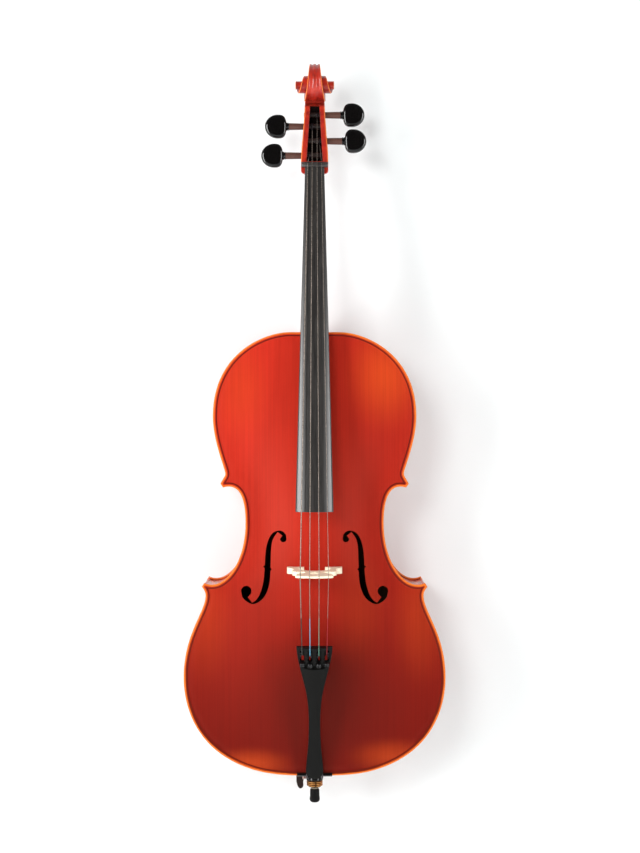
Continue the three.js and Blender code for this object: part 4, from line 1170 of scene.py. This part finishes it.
# ---- Bridge ----
# Right half of the bridge as (x, height above its feet): side, arch between the legs, and heart.
BRIDGE_HALF = [(46, -6), (46.4, -1), (46, 3), (42, 8), (38, 12), (35.6, 17), (35, 22), (36.2, 28), (37, 33),
               (36.6, 37), (35, 41), (32.5, 43.8), (29, 45), (24, 44.4), (19, 44), (16.2, 45.6), (15, 49),
               (15, 53), (17, 56), (20.5, 58), (24, 60), (26.6, 63.6), (28, 68), (30, 73), (31.3, 77.5)]
BRIDGE_ARCH = [(0, 35), (6, 34.5), (12, 33), (17.5, 30.5), (22, 27), (25.4, 22), (27, 16), (27, 12.6),
               (26, 10), (22.8, 6), (19, 4), (17.6, 1), (18, -6)]
BRIDGE_HEART = [(0, 50), (3, 51.4), (5.4, 54), (7, 58), (7, 61.6), (5, 64), (2, 64), (0, 61)]
BRIDGE_HEIGHT = 90.0
BRIDGE_CROWN_HALF = 30
BRIDGE_CROWN_RADIUS = 60.0
BRIDGE_FOOT_THICK = 11.0
BRIDGE_CROWN_THICK = 3.2
BRIDGE_GRID = 4.0
BRIDGE_GRID_CLEARANCE = 1.5
BRIDGE_FOOT_HEIGHT = 5  # points below this height follow the belly


def make_bridge(mat):
    base = BRIDGE_TOP - BRIDGE_HEIGHT
    crown_x = np.linspace(BRIDGE_CROWN_HALF, -BRIDGE_CROWN_HALF, 41)
    crown_centre = BRIDGE_HEIGHT - BRIDGE_CROWN_RADIUS
    crown = np.stack([crown_x, crown_centre + np.sqrt(BRIDGE_CROWN_RADIUS**2 - crown_x**2)], axis=1)
    right = spline(BRIDGE_HALF, 4)
    arch_right = spline(BRIDGE_ARCH, 4)
    arch = np.concatenate([mirror(arch_right)[:-1], arch_right])
    outline = np.concatenate([right, crown[1:-1], mirror(right), arch])
    heart_right = spline(BRIDGE_HEART, 3)
    heart = np.concatenate([heart_right, mirror(heart_right)[1:-1]])
    columns = np.arange(-44, 45, BRIDGE_GRID)
    rows = np.arange(-4, 92, BRIDGE_GRID)
    grid = np.array([(x, h) for x in columns for h in rows])
    grid = grid[inside(grid, outline) & ~inside(grid, heart)]
    for line in (outline, heart):
        grid = grid[segment_distance(grid, line) > BRIDGE_GRID_CLEARANCE]
    flat, faces = triangulate([outline, heart], grid)
    tail_face = BRIDGE_LINE - BRIDGE_FOOT_THICK / 2
    thick = np.interp(flat[:, 1], [-6, 4, BRIDGE_HEIGHT],
                      [BRIDGE_FOOT_THICK, BRIDGE_FOOT_THICK * 0.92, BRIDGE_CROWN_THICK])
    verts = []
    for face_z in (np.full(len(flat), tail_face), tail_face + thick):
        for (x, h), z in zip(flat, face_z):
            forward = base + h
            if h < BRIDGE_FOOT_HEIGHT:
                forward = max(forward, float(belly_forward(x, z)) + 0.02)
            verts.append(place(x, forward, z))
    count = len(flat)
    faces = [tuple(f) for f in faces]
    used = {(f[k], f[(k + 1) % 3]) for f in faces for k in range(3)}
    walls = [(a, b, b + count, a + count) for a, b in used if (b, a) not in used]
    far_side = [tuple(i + count for i in f[::-1]) for f in faces]
    obj = new_object("bridge_carved", verts, faces + far_side + walls, mat)
    bevel = obj.modifiers.new("eased", "BEVEL")
    bevel.width = 0.5 * MM
    bevel.segments = 2
    bevel.limit_method = "ANGLE"
    bevel.angle_limit = math.radians(50)
    finish_piece(obj, "root", ["bridge"])


# ---- Fingerboard, nut and saddle ----
BOARD_RADIUS = 62.0
BOARD_SCOOP_TOP = 800.0
BOARD_SCOOP_FADE = 12
BOARD_SCOOP_DEPTH = 5.5
BOARD_EDGE = 3  # width of the flat strip under each long edge
NUT_CROWN = 0.0075  # fall of the nut's crown for each square millimetre of x
NUT_HALF = span("nut", 0)[1]
SADDLE_HALF = span("saddle", 0)[1]
SADDLE_LOW, SADDLE_HIGH = span("saddle", 2)
SADDLE_FORWARD = -span("saddle", 1)[0]


def drop_at(x, radius=BOARD_RADIUS):
    """How far a crowned surface falls away at x from its middle line."""
    return radius - np.sqrt(radius**2 - np.asarray(x, float) ** 2)


def make_fingerboard(mat):
    rings = []
    levels = [BOARD_LOW, BOARD_LOW + 0.5] + list(np.linspace(BOARD_LOW + 8, NUT_LOW - 0.2, 40))
    for z in levels:
        short = 0.5 if z == BOARD_LOW else 0.0
        half = board_half(z) - short
        crest = board_crest(z) - short
        under = neck_face(z) + 0.15
        scoop = BOARD_SCOOP_DEPTH * (1 - smooth_step(z, BOARD_SCOOP_TOP - BOARD_SCOOP_FADE, BOARD_SCOOP_TOP))
        x = half * np.sin(np.linspace(-1, 1, 25) * math.pi / 2)
        top = [(u, crest - float(drop_at(u)) - 0.5 * (1 if abs(u) > half - 0.3 else 0)) for u in x]
        hollow = half - BOARD_EDGE
        back = [(u, under + scoop * max(0.0, 1 - (u / hollow) ** 2) if abs(u) < hollow else under)
                for u in np.linspace(half, -half, 15)]
        rings.append([place(u, f, z) for u, f in top + back])
    verts, faces = loft(rings)
    obj = new_object("fingerboard_shaped", verts, faces, mat, 30)
    finish_piece(obj, "root", ["fingerboard"])


def bar_along_x(half, section, drop, steps=33):
    """A bar across the instrument with a (forward, z) section that sinks by drop(x)."""
    lowest = min(f for f, _ in section)
    highest = max(f for f, _ in section)
    rings = []
    for x in half * np.sin(np.linspace(-1, 1, steps) * math.pi / 2):
        fall = float(drop(x))
        rings.append([place(x, f - fall * (f - lowest) / (highest - lowest), z) for f, z in section])
    return loft(rings)


def make_nut(mat):
    base = neck_face(NUT_HIGH) + 0.1
    section = [(base, NUT_LOW), (NUT_FORWARD - 1.6, NUT_LOW + 0.2), (NUT_FORWARD - 0.3, NUT_LOW + 1.4),
               (NUT_FORWARD, NUT_LOW + 3), (NUT_FORWARD - 1.5, NUT_HIGH - 1.6),
               (NUT_FORWARD - 4, NUT_HIGH - 0.3), (base, NUT_HIGH)]

    def drop(x):
        return NUT_CROWN * x**2 + (1.2 if abs(x) > NUT_HALF - 0.4 else 0)

    obj = new_object("nut_shaped", *bar_along_x(NUT_HALF, section, drop), mat, 35)
    finish_piece(obj, "root", ["nut"])


def make_saddle():
    base = RIB_HALF + 0.1
    section = [(base, SADDLE_LOW), (SADDLE_FORWARD - 3.5, SADDLE_LOW), (SADDLE_FORWARD - 1.4, SADDLE_LOW + 0.9),
               (SADDLE_FORWARD, SADDLE_LOW + 2.6), (SADDLE_FORWARD - 0.4, SADDLE_HIGH - 1.6),
               (SADDLE_FORWARD - 2, SADDLE_HIGH - 0.3), (base, SADDLE_HIGH)]

    def drop(x):
        return 1.2 * smooth_step(abs(x), 25, SADDLE_HALF)

    obj = new_object("saddle_shaped", *bar_along_x(SADDLE_HALF, section, drop), GLOSS_EBONY, 35)
    finish_piece(obj, "root", ["saddle"])


# ---- Tailpiece and fine tuners, placed in the tailpiece's own tilted frame ----
TAIL_TILT = math.radians(15.9)
TAIL_FORWARD = 141.0
TAIL_Z = 289.0
# By distance down from the top edge.
TAIL_HALF_WIDTH = [(0, 30.5), (18, 28.6), (39, 24.5), (60, 19.2), (89, 13), (112, 10.5), (150, 9.8),
                   (185, 11.2), (212, 13.6), (228, 14.8), (242, 15)]
TAIL_TOP = 2.5
TAIL_END = 242.4
TAIL_END_ROUND = 15.0
TAIL_THICKNESS = [(0, 11), (45, 11), (100, 6.5), (200, 6), (242, 5)]
TAIL_RADIUS = 62.0
TAIL_LIP = 2.4  # how far the top edge sags between its corners, before it is scaled
TAIL_LIP_FADE = 5
TAIL_UNDER = 0.8  # part of the half width kept by the flat underside
BOWL_HALF, BOWL_LEVEL, BOWL_REACH, BOWL_DEPTH = 26, -33, 8.5, 1.3
CUTTER_TOP = 6  # well clear of the surface
SEAT_RADIUS = 5.2
SEAT_DEPTH = 5
SLOT_TOP, SLOT_BOTTOM, SLOT_HALF, SLOT_DEPTH = -8.0, -28.0, 4.2, 6.5
WINDOW_TOP = -19.5  # the slots go right through below this level
WINDOW_HALF = {"c": 3.1, "g": 1.3, "d": 1.3, "a": 3.1}
LEVER_SHIFT = {"c": -2.2, "g": 1.8, "d": -1.8, "a": 2.2}
SCREW_LEVEL = -32.0
LEVER_LEVEL = -20.0
LEVER_DEPTH = 7.0
# Name: place at the tailpiece, bridge, nut and peg, and radius.
STRINGS = {"c": (-20.5, -23.2, -11.7, -9.5, 0.85), "g": (-7.3, -7.7, -4.2, -4.2, 0.65),
           "d": (7.3, 7.7, 4.2, 4.2, 0.5), "a": (20.5, 23.2, 11.7, 8.0, 0.4)}


def tail_place(x, out, up):
    """A place from x, distance out of the tailpiece's crest plane and distance up from its top edge."""
    y = -TAIL_FORWARD - out * math.cos(TAIL_TILT) - up * math.sin(TAIL_TILT)
    z = TAIL_Z - out * math.sin(TAIL_TILT) + up * math.cos(TAIL_TILT)
    return (x * MM, y * MM, z * MM)


def carve(obj, cutters):
    """Cuts the cutter objects out of obj for good."""
    for cutter in cutters:
        modifier = obj.modifiers.new("cut", "BOOLEAN")
        modifier.operation = "DIFFERENCE"
        modifier.solver = "EXACT"
        modifier.object = cutter
    graph = bpy.context.evaluated_depsgraph_get()
    carved = bpy.data.meshes.new_from_object(obj.evaluated_get(graph))
    obj.modifiers.clear()
    obj.data = carved
    shade(carved, 32)
    for cutter in cutters:
        bpy.data.objects.remove(cutter, do_unlink=True)


def tail_box(name, x, half, out, up, mat, corner=0.8):
    """An upright bar in the tailpiece's frame with eased long edges, as a cutter or a part."""
    low, high = up
    left, right = x - half, x + half
    line = [(left + corner, low), (right - corner, low), (right, low + corner), (right, high - corner),
            (right - corner, high), (left + corner, high), (left, high - corner), (left, low + corner)]
    verts, faces = loft([[tail_place(u, level, v) for u, v in line] for level in out])
    return new_object(name, verts, faces, mat)


def tail_surface(name):
    """How far out the tailpiece's crowned surface lies under a string."""
    return -float(drop_at(STRINGS[name][0], TAIL_RADIUS))


def tuner_cutters(name, mat):
    """What one fine tuner takes out of the tailpiece: its slot, the opening below it and the screw's seat."""
    x = STRINGS[name][0]
    surface = tail_surface(name)
    pocket = (surface - SLOT_DEPTH, 4)
    slot = tail_box(f"slot_{name}", x, SLOT_HALF, pocket, (SLOT_BOTTOM, SLOT_TOP), mat, 1.6)
    opening = (SLOT_BOTTOM + 0.1, WINDOW_TOP)
    window = tail_box(f"window_{name}", x, WINDOW_HALF[name], (-14, 3), opening, mat)
    verts, faces = spin([(SEAT_RADIUS, surface - SEAT_DEPTH), (SEAT_RADIUS, CUTTER_TOP)], (0, 0), "Z", 28)
    verts = [tail_place(x + v[0] / MM, v[2] / MM, SCREW_LEVEL - v[1] / MM) for v in verts]
    return slot, window, new_object(f"seat_{name}", verts, faces, mat)


def make_tailpiece(mat):
    downs = [TAIL_TOP, TAIL_TOP + 0.5] + list(np.arange(TAIL_TOP + 3, 226, 4.0))
    downs += list(TAIL_END - TAIL_END_ROUND + TAIL_END_ROUND * np.sin(np.linspace(0.05, 0.49, 12) * math.pi))
    rings = []
    for down in downs:
        half = float(through(TAIL_HALF_WIDTH, down))
        round_part = max(0.0, down - TAIL_END + TAIL_END_ROUND) / TAIL_END_ROUND
        half *= math.sqrt(1 - round_part**2)
        thick = float(through(TAIL_THICKNESS, down))
        ease = 0.5 if down == TAIL_TOP else 0.0
        lip = TAIL_LIP * (1 - smooth_step(down, TAIL_TOP, TAIL_TOP + TAIL_LIP_FADE))
        front = []
        for u in np.sin(np.linspace(-1, 1, 21) * math.pi / 2):
            x = u * (half - ease)
            edge = 0.7 if abs(u) == 1 else 0.0
            sunk = lip * (1 - min(abs(x) / 22, 1) ** 2) * 0.35
            front.append((x, -float(drop_at(x, TAIL_RADIUS)) - ease - edge, -down - sunk))
        under = max(half - 2, half * TAIL_UNDER)
        back = [(half - ease, 1.0 - thick, -down), (under, 0.2 - thick, -down), (-under, 0.2 - thick, -down),
                (-half + ease, 1.0 - thick, -down)]
        rings.append([tail_place(x, out, up) for x, out, up in front + back])
    verts, faces = loft(rings)
    obj = new_object("tailpiece_moulded", verts, faces, mat, 32)
    cutters = [cutter for name in STRINGS for cutter in tuner_cutters(name, mat)]
    bowl_line = [(BOWL_HALF * math.sin(a), BOWL_LEVEL - BOWL_REACH * math.cos(a))
                 for a in np.linspace(-math.pi / 2, math.pi / 2, 21)]
    bowl = loft([[tail_place(u, -float(drop_at(u, TAIL_RADIUS)) - BOWL_DEPTH, v) for u, v in bowl_line],
                 [tail_place(u * 1.02, CUTTER_TOP, v - 0.4) for u, v in bowl_line]])
    cutters.append(new_object("bowl", *bowl, mat))
    carve(obj, cutters)
    finish_piece(obj, "root", ["tailpiece"])


# Side view of a lever as (forward, z) from its pivot, and the turned screw as (radius, distance out).
LEVER_SIDE = [(2.5, 3), (10, 3.5), (10.4, 4.6), (10, 6), (8.2, 6.4), (7.9, 8.4), (7, 9), (-1.8, 9),
              (-2.6, 8), (-3, 0), (-2.5, -16.5), (0.3, -16.5), (0.3, -4), (1.2, -2.6), (2.5, -2)]
SCREW_PROFILE = [(1.5, -5.8), (1.5, 0.5), (3.4, 0.6), (4.1, 1.3), (4.15, 2.6), (4.15, 5.4), (3.9, 6.3),
                 (3.1, 6.9), (2.0, 6.6), (1.2, 6.0)]
SCREW_POINTS = 60
KNURL_DEPTH = 0.32
KNURL_FROM = 4  # radii beyond this are knurled, at every third point


def make_tuner(name, mat):
    x = STRINGS[name][0]
    surface = tail_surface(name)
    centre = surface - LEVER_DEPTH
    lever_x = x + LEVER_SHIFT[name]
    rings = [[tail_place(lever_x + offset, centre + f - math.copysign(ease, f - 1), LEVER_LEVEL + z)
              for f, z in LEVER_SIDE]
             for offset, ease in ((-1.3, 0.3), (-1.0, 0), (1.0, 0), (1.3, 0.3))]
    lever = new_object(f"tuner_lever_{name}_cast", *loft(rings), mat, 35)
    finish_piece(lever, f"tuner_lever_{name}", [f"fine_tuner_lever_{name}"])
    rings = []
    for r, out in SCREW_PROFILE:
        ring = []
        for k in range(SCREW_POINTS):
            a = 2 * math.pi * k / SCREW_POINTS
            radius = r - (KNURL_DEPTH if r > KNURL_FROM and k % 3 == 0 else 0.0)
            ring.append(tail_place(x + radius * math.cos(a), surface + out, SCREW_LEVEL + radius * math.sin(a)))
        rings.append(ring)
    knob = new_object(f"tuner_screw_{name}_knurled", *loft(rings), mat, 25)
    finish_piece(knob, f"tuner_screw_{name}", [f"fine_tuner_screw_{name}"])


# ---- Strings and tailgut ----
SILKS = {"c": (44, 42, 38), "g": (96, 160, 190), "d": (100, 152, 132), "a": (166, 36, 46)}
SILK_AT_TAIL = 338.0
SILK_AT_PEG = 9.0  # length of silk left before the peg, painted dark as shade
HOOK_OUT, HOOK_LEVEL = 1.8, -15.5  # where a string's end is held, in the tailpiece's frame


def nut_crest(x):
    return NUT_FORWARD - NUT_CROWN * x**2


def bridge_crest(x):
    return BRIDGE_TOP - float(drop_at(x, BRIDGE_CROWN_RADIUS))


def make_string(name):
    tail_x, bridge_x, nut_x, peg_x, radius = STRINGS[name]
    peg_forward, peg_z = peg_axis(name)
    hook = [v / MM for v in tail_place(tail_x, tail_surface(name) + HOOK_OUT, HOOK_LEVEL)]
    over_bridge = bridge_crest(bridge_x) + radius * 0.6
    over_nut = nut_crest(nut_x) + radius * 0.7
    points = [(hook[0], -hook[1], hook[2]), (bridge_x, over_bridge - 0.6, BRIDGE_LINE - 6),
              (bridge_x, over_bridge, BRIDGE_LINE - 4), (bridge_x, over_bridge, BRIDGE_LINE - 2.5),
              (nut_x, over_nut, NUT_LOW + 1.5), (nut_x, over_nut - 0.4, NUT_LOW + 4.5),
              (peg_x, peg_forward + SHAFT_RADIUS + radius, peg_z)]
    path = [place(*p) for p in points]
    silk = rgb(*SILKS[name])
    mat = string_metal(f"string {name}", silk, SILK_AT_TAIL, peg_z - SILK_AT_PEG)
    obj = new_object(f"string_{name}_wound", *tube(path, radius * MM, 14), mat, 60)
    finish_piece(obj, "root", [f"string_{name}"])
    coil_mesh = coil(peg_x, SHAFT_RADIUS + radius, radius, peg_forward, peg_z)
    wraps = new_object(f"string_{name}_wraps", *coil_mesh, STRING_WRAPS_SHADE, 60)
    finish_piece(wraps, f"peg_{name}")


GUT_LEVEL = 56.2
GUT_LOOP = 13.0
GUT_RADIUS = 1.5


# The right strand: its end as (x, out, up) on the tailpiece, then (x, forward, z) over the saddle to the plug.
GUT_START = [(6, -9.2, -200), (8, -10, -212)]
GUT_STRAND = [(12.6, 69.8, 64), (13, 69.7, 61.5), (13, 69.2, 58.6), (13, 67.0, 56.8), (13.4, 62, GUT_LEVEL),
              (14, 36, GUT_LEVEL), (13.6, 14, GUT_LEVEL)]
GUT_LOOP_ANGLES = [-10, 12, 34, 56, 78, 90]


def make_tailgut():
    right = [tail_place(*p) for p in GUT_START] + [place(*p) for p in GUT_STRAND]
    right += [place(GUT_LOOP * math.cos(a), GUT_LOOP * math.sin(-a), GUT_LEVEL)
              for a in np.radians(GUT_LOOP_ANGLES)]
    left = [(-x, y, z) for x, y, z in right[:-1][::-1]]
    path = spline(right + left, 4)
    obj = new_object("tailgut_cord", *tube(path, GUT_RADIUS * MM, 12), speckled("tailgut cord"), 60)
    finish_piece(obj, "root", ["tailgut"])


# ---- Endpin ----
FLANGE = 14.5
BORE = 5.6
COLLAR_RADIUS = 14.0
COLLAR_LOW, COLLAR_HIGH = span("endpin_collar", 2)
ROD_TOP = span("endpin_rod", 2)[1]
TIP_HIGH = span("endpin_tip", 2)[1]
SCREW_Z = 43.0
RING_SPLIT, RING_SPLIT_HALF = 0.14, 0.07  # radians round from the front
COLLAR_CONE = 2.4  # height of the collar's sloping foot
RIB_COUNT = 3
RIB_FILL = 0.62  # part of the pitch taken up by a rib
RIB_EASE = 0.3
RIB_ROOT = 1.6
TIP_PROFILE = [(4.6, 0), (5.8, 0.3), (7.6, 1.6), (8.6, 3.4), (8.8, 5), (8.7, 7), (8.5, 9), (8.5, 10),
               (8.0, 10.6), (8.3, 11.4), (8.0, TIP_HIGH - 1), (7.4, TIP_HIGH)]


def split_rib(low, height):
    """A raised band round the clamp ring, open at the ring's narrow split."""
    high = low + height
    eased = COLLAR_RADIUS - RIB_EASE
    root = COLLAR_RADIUS - RIB_ROOT
    section = [(root, low), (eased, low), (COLLAR_RADIUS, low + RIB_EASE),
               (COLLAR_RADIUS, high - RIB_EASE), (eased, high), (root, high)]
    angles = np.linspace(RING_SPLIT + RING_SPLIT_HALF, RING_SPLIT - RING_SPLIT_HALF + 2 * math.pi, 72)
    return loft([[place(r * math.sin(a), r * math.cos(a), z) for r, z in section] for a in angles])


def make_plug():
    low, shank_top = span("endpin_socket", 2)
    section = [(BORE, low), (FLANGE - 0.8, low), (FLANGE, low + 0.8), (FLANGE, 44), (FLANGE - 0.6, 45),
               (FLANGE, 46), (FLANGE, 51.4), (FLANGE - 1.2, 52.8), (10.8, 54), (10.8, 59),
               (FLANGE - 0.8, 60.2), (FLANGE, 61), (FLANGE, 62.6), (12.5, 62.8), (11.2, shank_top - 1),
               (10.6, shank_top), (BORE, shank_top)]
    plug = new_object("endpin_plug_turned", *spin_ring(section, 72), GLOSS_EBONY, 35)
    finish_piece(plug, "root", ["endpin_socket"])


def make_clamp_ring():
    rib_low = COLLAR_LOW + COLLAR_CONE
    barrel = COLLAR_RADIUS - 1.4
    section = [(BORE, COLLAR_LOW), (10.8, COLLAR_LOW), (barrel, rib_low), (barrel, COLLAR_HIGH),
               (BORE, COLLAR_HIGH)]
    parts = [(*spin_ring(section, 72), 0)]
    pitch = (COLLAR_HIGH - COLLAR_LOW - COLLAR_CONE) / RIB_COUNT
    parts += [(*split_rib(rib_low + k * pitch, pitch * RIB_FILL), 1) for k in range(RIB_COUNT)]
    # The barrel between the ribs is a darker copy of the brass: painted shade in the grooves.
    finishes = [metal("clamp brass grooves in painted shade", rgb(62, 38, 20), rgb(92, 58, 32), 0.35),
                metal("clamp brass ribs", rgb(160, 104, 54), rgb(224, 166, 100), 0.2)]
    ring = assemble("endpin_clamp_ring", parts, finishes, 35)
    finish_piece(ring, "root", ["endpin_collar"])


def make_rod_and_tip():
    steel = metal("rod steel", rgb(116, 106, 92), rgb(152, 142, 126), 0.25)
    profile = [(4.4, TIP_HIGH - 3), (6.3, TIP_HIGH + 0.2), (6.3, COLLAR_LOW - 0.4), (5.0, COLLAR_LOW - 0.2),
               (5.0, ROD_TOP - 1), (4.2, ROD_TOP)]
    rod = new_object("endpin_rod_polished", *spin(profile, sides=40), steel, 35)
    finish_piece(rod, "endpin", ["endpin_rod"])
    tip = new_object("endpin_tip_moulded", *spin(TIP_PROFILE, sides=48), speckled("tip rubber"), 35)
    finish_piece(tip, "endpin", ["endpin_tip"])


# Upper half of the wing as (x, height above the screw's axis).
WING = [(-19.5, 3.5), (-20, 10), (-19.8, 15), (-22.5, 18.8), (-26, 19.3), (-29.5, 15.5), (-32, 7)]
WING_MIDDLE = np.array([-25.5, 0.0])
WING_HALF_THICK = 2.5
HUB = [(4.2, -21.0), (4.6, -20.4), (4.6, -19.2), (3.6, -18.6)]
THREAD_START = -18.6
THREAD_PITCH = 0.8
THREAD_TURNS = 16
THREAD_CREST, THREAD_ROOT = 3.0, 2.5


def make_thumbscrew():
    upper = spline(WING, 4)
    line = np.concatenate([upper, (upper * np.array([1, -1]))[::-1]])
    rings = []
    for level in np.sin(np.linspace(-1, 1, 9) * math.pi / 2):
        shrink = 0.8 + 0.2 * math.sqrt(max(0.0, 1 - level**4))
        section = WING_MIDDLE + (line - WING_MIDDLE) * shrink
        rings.append([place(x, level * WING_HALF_THICK, SCREW_Z + off) for x, off in section])
    wings = loft(rings)
    hub = spin(HUB, (0, SCREW_Z), "X", 32)
    thread = []
    for k in range(THREAD_TURNS):
        x = THREAD_START + k * THREAD_PITCH
        thread += [(THREAD_CREST, x), (THREAD_ROOT, x + 0.4)]
    shaft = spin([(2.8, -19)] + thread + [(2.0, -5.8)], (0, SCREW_Z), "X", 28)
    finishes = [speckled("thumbscrew wood"),
                metal("screw steel", rgb(170, 140, 132), rgb(214, 186, 176), 0.28)]
    obj = assemble("thumbscrew_winged", [(*wings, 0), (*hub, 1), (*shaft, 1)], finishes, 35)
    finish_piece(obj, "thumbscrew", ["endpin_thumbscrew"])


# ---- Parts kept from the CAD frame: the inside of the body ----
INSIDE_NODES = [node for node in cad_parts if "lining" in node or "block" in node]
INSIDE_NODES += ["bass_bar", "sound_post"]


def finish_inside(wood):
    for node in INSIDE_NODES:
        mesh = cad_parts[node].data
        mesh.materials.clear()
        mesh.materials.append(wood)


# ---- Staging ----
CAMERA_PLACE = (0.0092, -2.763, 0.6533)
CAMERA_LENS = 67.0
# Name: place, what it points at, size, watts, and whether it shows in glossy surfaces.
LIGHTS = {
    "key": ((-0.95, -3.0, 1.45), (0, 0, 0.65), (0.9, 0.9), 37, False),
    "strip_left": ((-2.0, -1.9, 0.9), (0, 0, 0.75), (0.6, 2.2), 52, True),
    "strip_right": ((2.1, -1.8, 0.9), (0, 0, 0.75), (0.4, 2.2), 34, True),
    "back": ((-1.4, 2.6, 1.5), (0, 0, 0.7), (1.4, 1.4), 34, False),
}
ROOM_RAMP = {"From Min": -1.0, "From Max": -0.2, "To Min": 0.04, "To Max": 0.22}


def set_camera():
    """Straight-on view of the front from the height of the bridge."""
    data = bpy.data.cameras.new("camera")
    data.lens = CAMERA_LENS
    data.sensor_width = 36.0
    data.clip_end = 20.0
    obj = bpy.data.objects.new("camera", data)
    obj.location = CAMERA_PLACE
    obj.rotation_euler = (math.radians(90), 0, 0)
    bpy.context.scene.collection.objects.link(obj)
    bpy.context.scene.camera = obj


def add_light(name, location, target, size, watts, mirrored):
    """A soft rectangular light that the camera doesn't see."""
    data = bpy.data.lights.new(name, "AREA")
    data.shape = "RECTANGLE"
    data.size, data.size_y = size
    data.energy = watts
    obj = bpy.data.objects.new(name, data)
    obj.location = location
    aim = Vector(target) - Vector(location)
    obj.rotation_euler = aim.to_track_quat("-Z", "Y").to_euler()
    obj.visible_camera = False
    obj.visible_glossy = mirrored
    bpy.context.scene.collection.objects.link(obj)


def set_lights():
    """A frontal key, a strip at each side, a lamp on the back, and a room that is dim on the front's side.

    The camera sees the room as plain white.
    """
    for name, settings in LIGHTS.items():
        add_light(name, *settings)
    world = bpy.data.worlds.new("studio")
    world.use_nodes = True
    nodes = world.node_tree.nodes
    links = world.node_tree.links
    direction = nodes.new("ShaderNodeTexCoord").outputs["Generated"]
    parts = nodes.new("ShaderNodeSeparateXYZ")
    links.new(direction, parts.inputs[0])
    front = nodes.new("ShaderNodeMapRange")
    links.new(parts.outputs["Y"], front.inputs["Value"])
    for key, value in ROOM_RAMP.items():
        front.inputs[key].default_value = value
    seen = nodes.new("ShaderNodeMath")
    seen.operation = "MAXIMUM"
    links.new(nodes.new("ShaderNodeLightPath").outputs["Is Camera Ray"], seen.inputs[0])
    links.new(front.outputs[0], seen.inputs[1])
    links.new(seen.outputs[0], nodes["Background"].inputs["Strength"])
    nodes["Background"].inputs["Color"].default_value = (1, 1, 1, 1)
    bpy.context.scene.world = world
    bpy.context.scene.view_settings.view_transform = "Standard"


STAGE_REACH = 20.0
STAGE_TOP = 4.0
COVE_RADIUS = 0.06
WALL_Y = 0.105
FLOOR_Z = -0.358  # the instrument hangs by its neck, high enough for its endpin to slide out


def set_stage():
    """A pale floor that curves up into a pale sheet just behind the instrument.

    The sheet is clear from behind and casts no shadow, so the back can be seen and lit.
    """
    finish = Finish("pale studio")
    passed = finish.math("MAXIMUM", finish.node("NewGeometry").outputs["Backfacing"],
                         finish.node("LightPath").outputs["Is Shadow Ray"])
    finish.surface(Emission_Color=(1, 1, 1, 1), Emission_Strength=0.22)
    pale = finish.surface(Base_Color=(0.7, 0.73, 0.73, 1), Roughness=0.9, Specular_IOR_Level=0.0,
                          Alpha=finish.math("SUBTRACT", 1.0, passed))
    curve = [(WALL_Y - COVE_RADIUS + COVE_RADIUS * math.sin(a),
              FLOOR_Z + COVE_RADIUS - COVE_RADIUS * math.cos(a))
             for a in np.linspace(0, math.pi / 2, 13)]
    side = [(-STAGE_REACH, FLOOR_Z)] + curve + [(WALL_Y, STAGE_TOP)]
    verts = [(x, y, z) for y, z in side for x in (-STAGE_REACH, STAGE_REACH)]
    faces = [(2 * i, 2 * i + 2, 2 * i + 3, 2 * i + 1) for i in range(len(side) - 1)]
    backdrop = new_object("studio_floor_and_backdrop", verts, faces, pale)
    backdrop.data.flip_normals()


GLOSS_EBONY = speckled("gloss ebony")
PEG_WOOD = peg_wood()
# The strings' turns round the pegs are darkened: painted shade inside the pegbox.
STRING_WRAPS_SHADE = metal("string wraps in painted shade", rgb(58, 50, 52), rgb(92, 82, 86), 0.4)

shaded_inside_wood = shaded_bare_spruce()
make_belly(shaded_inside_wood)
make_back(shaded_inside_wood)
make_ribs()
make_neck()
for peg in PEGS:
    make_peg(peg)
make_bridge(bridge_maple())
board_finish = satin_board()
make_fingerboard(board_finish)
make_nut(board_finish)
make_saddle()
make_tailpiece(speckled("tailpiece composite"))
tuner_finish = speckled("tuner black")
for string in STRINGS:
    make_tuner(string, tuner_finish)
    make_string(string)
make_tailgut()
make_plug()
make_clamp_ring()
make_rod_and_tip()
make_thumbscrew()
finish_inside(shaded_inside_wood)
set_camera()
set_lights()
set_stage()
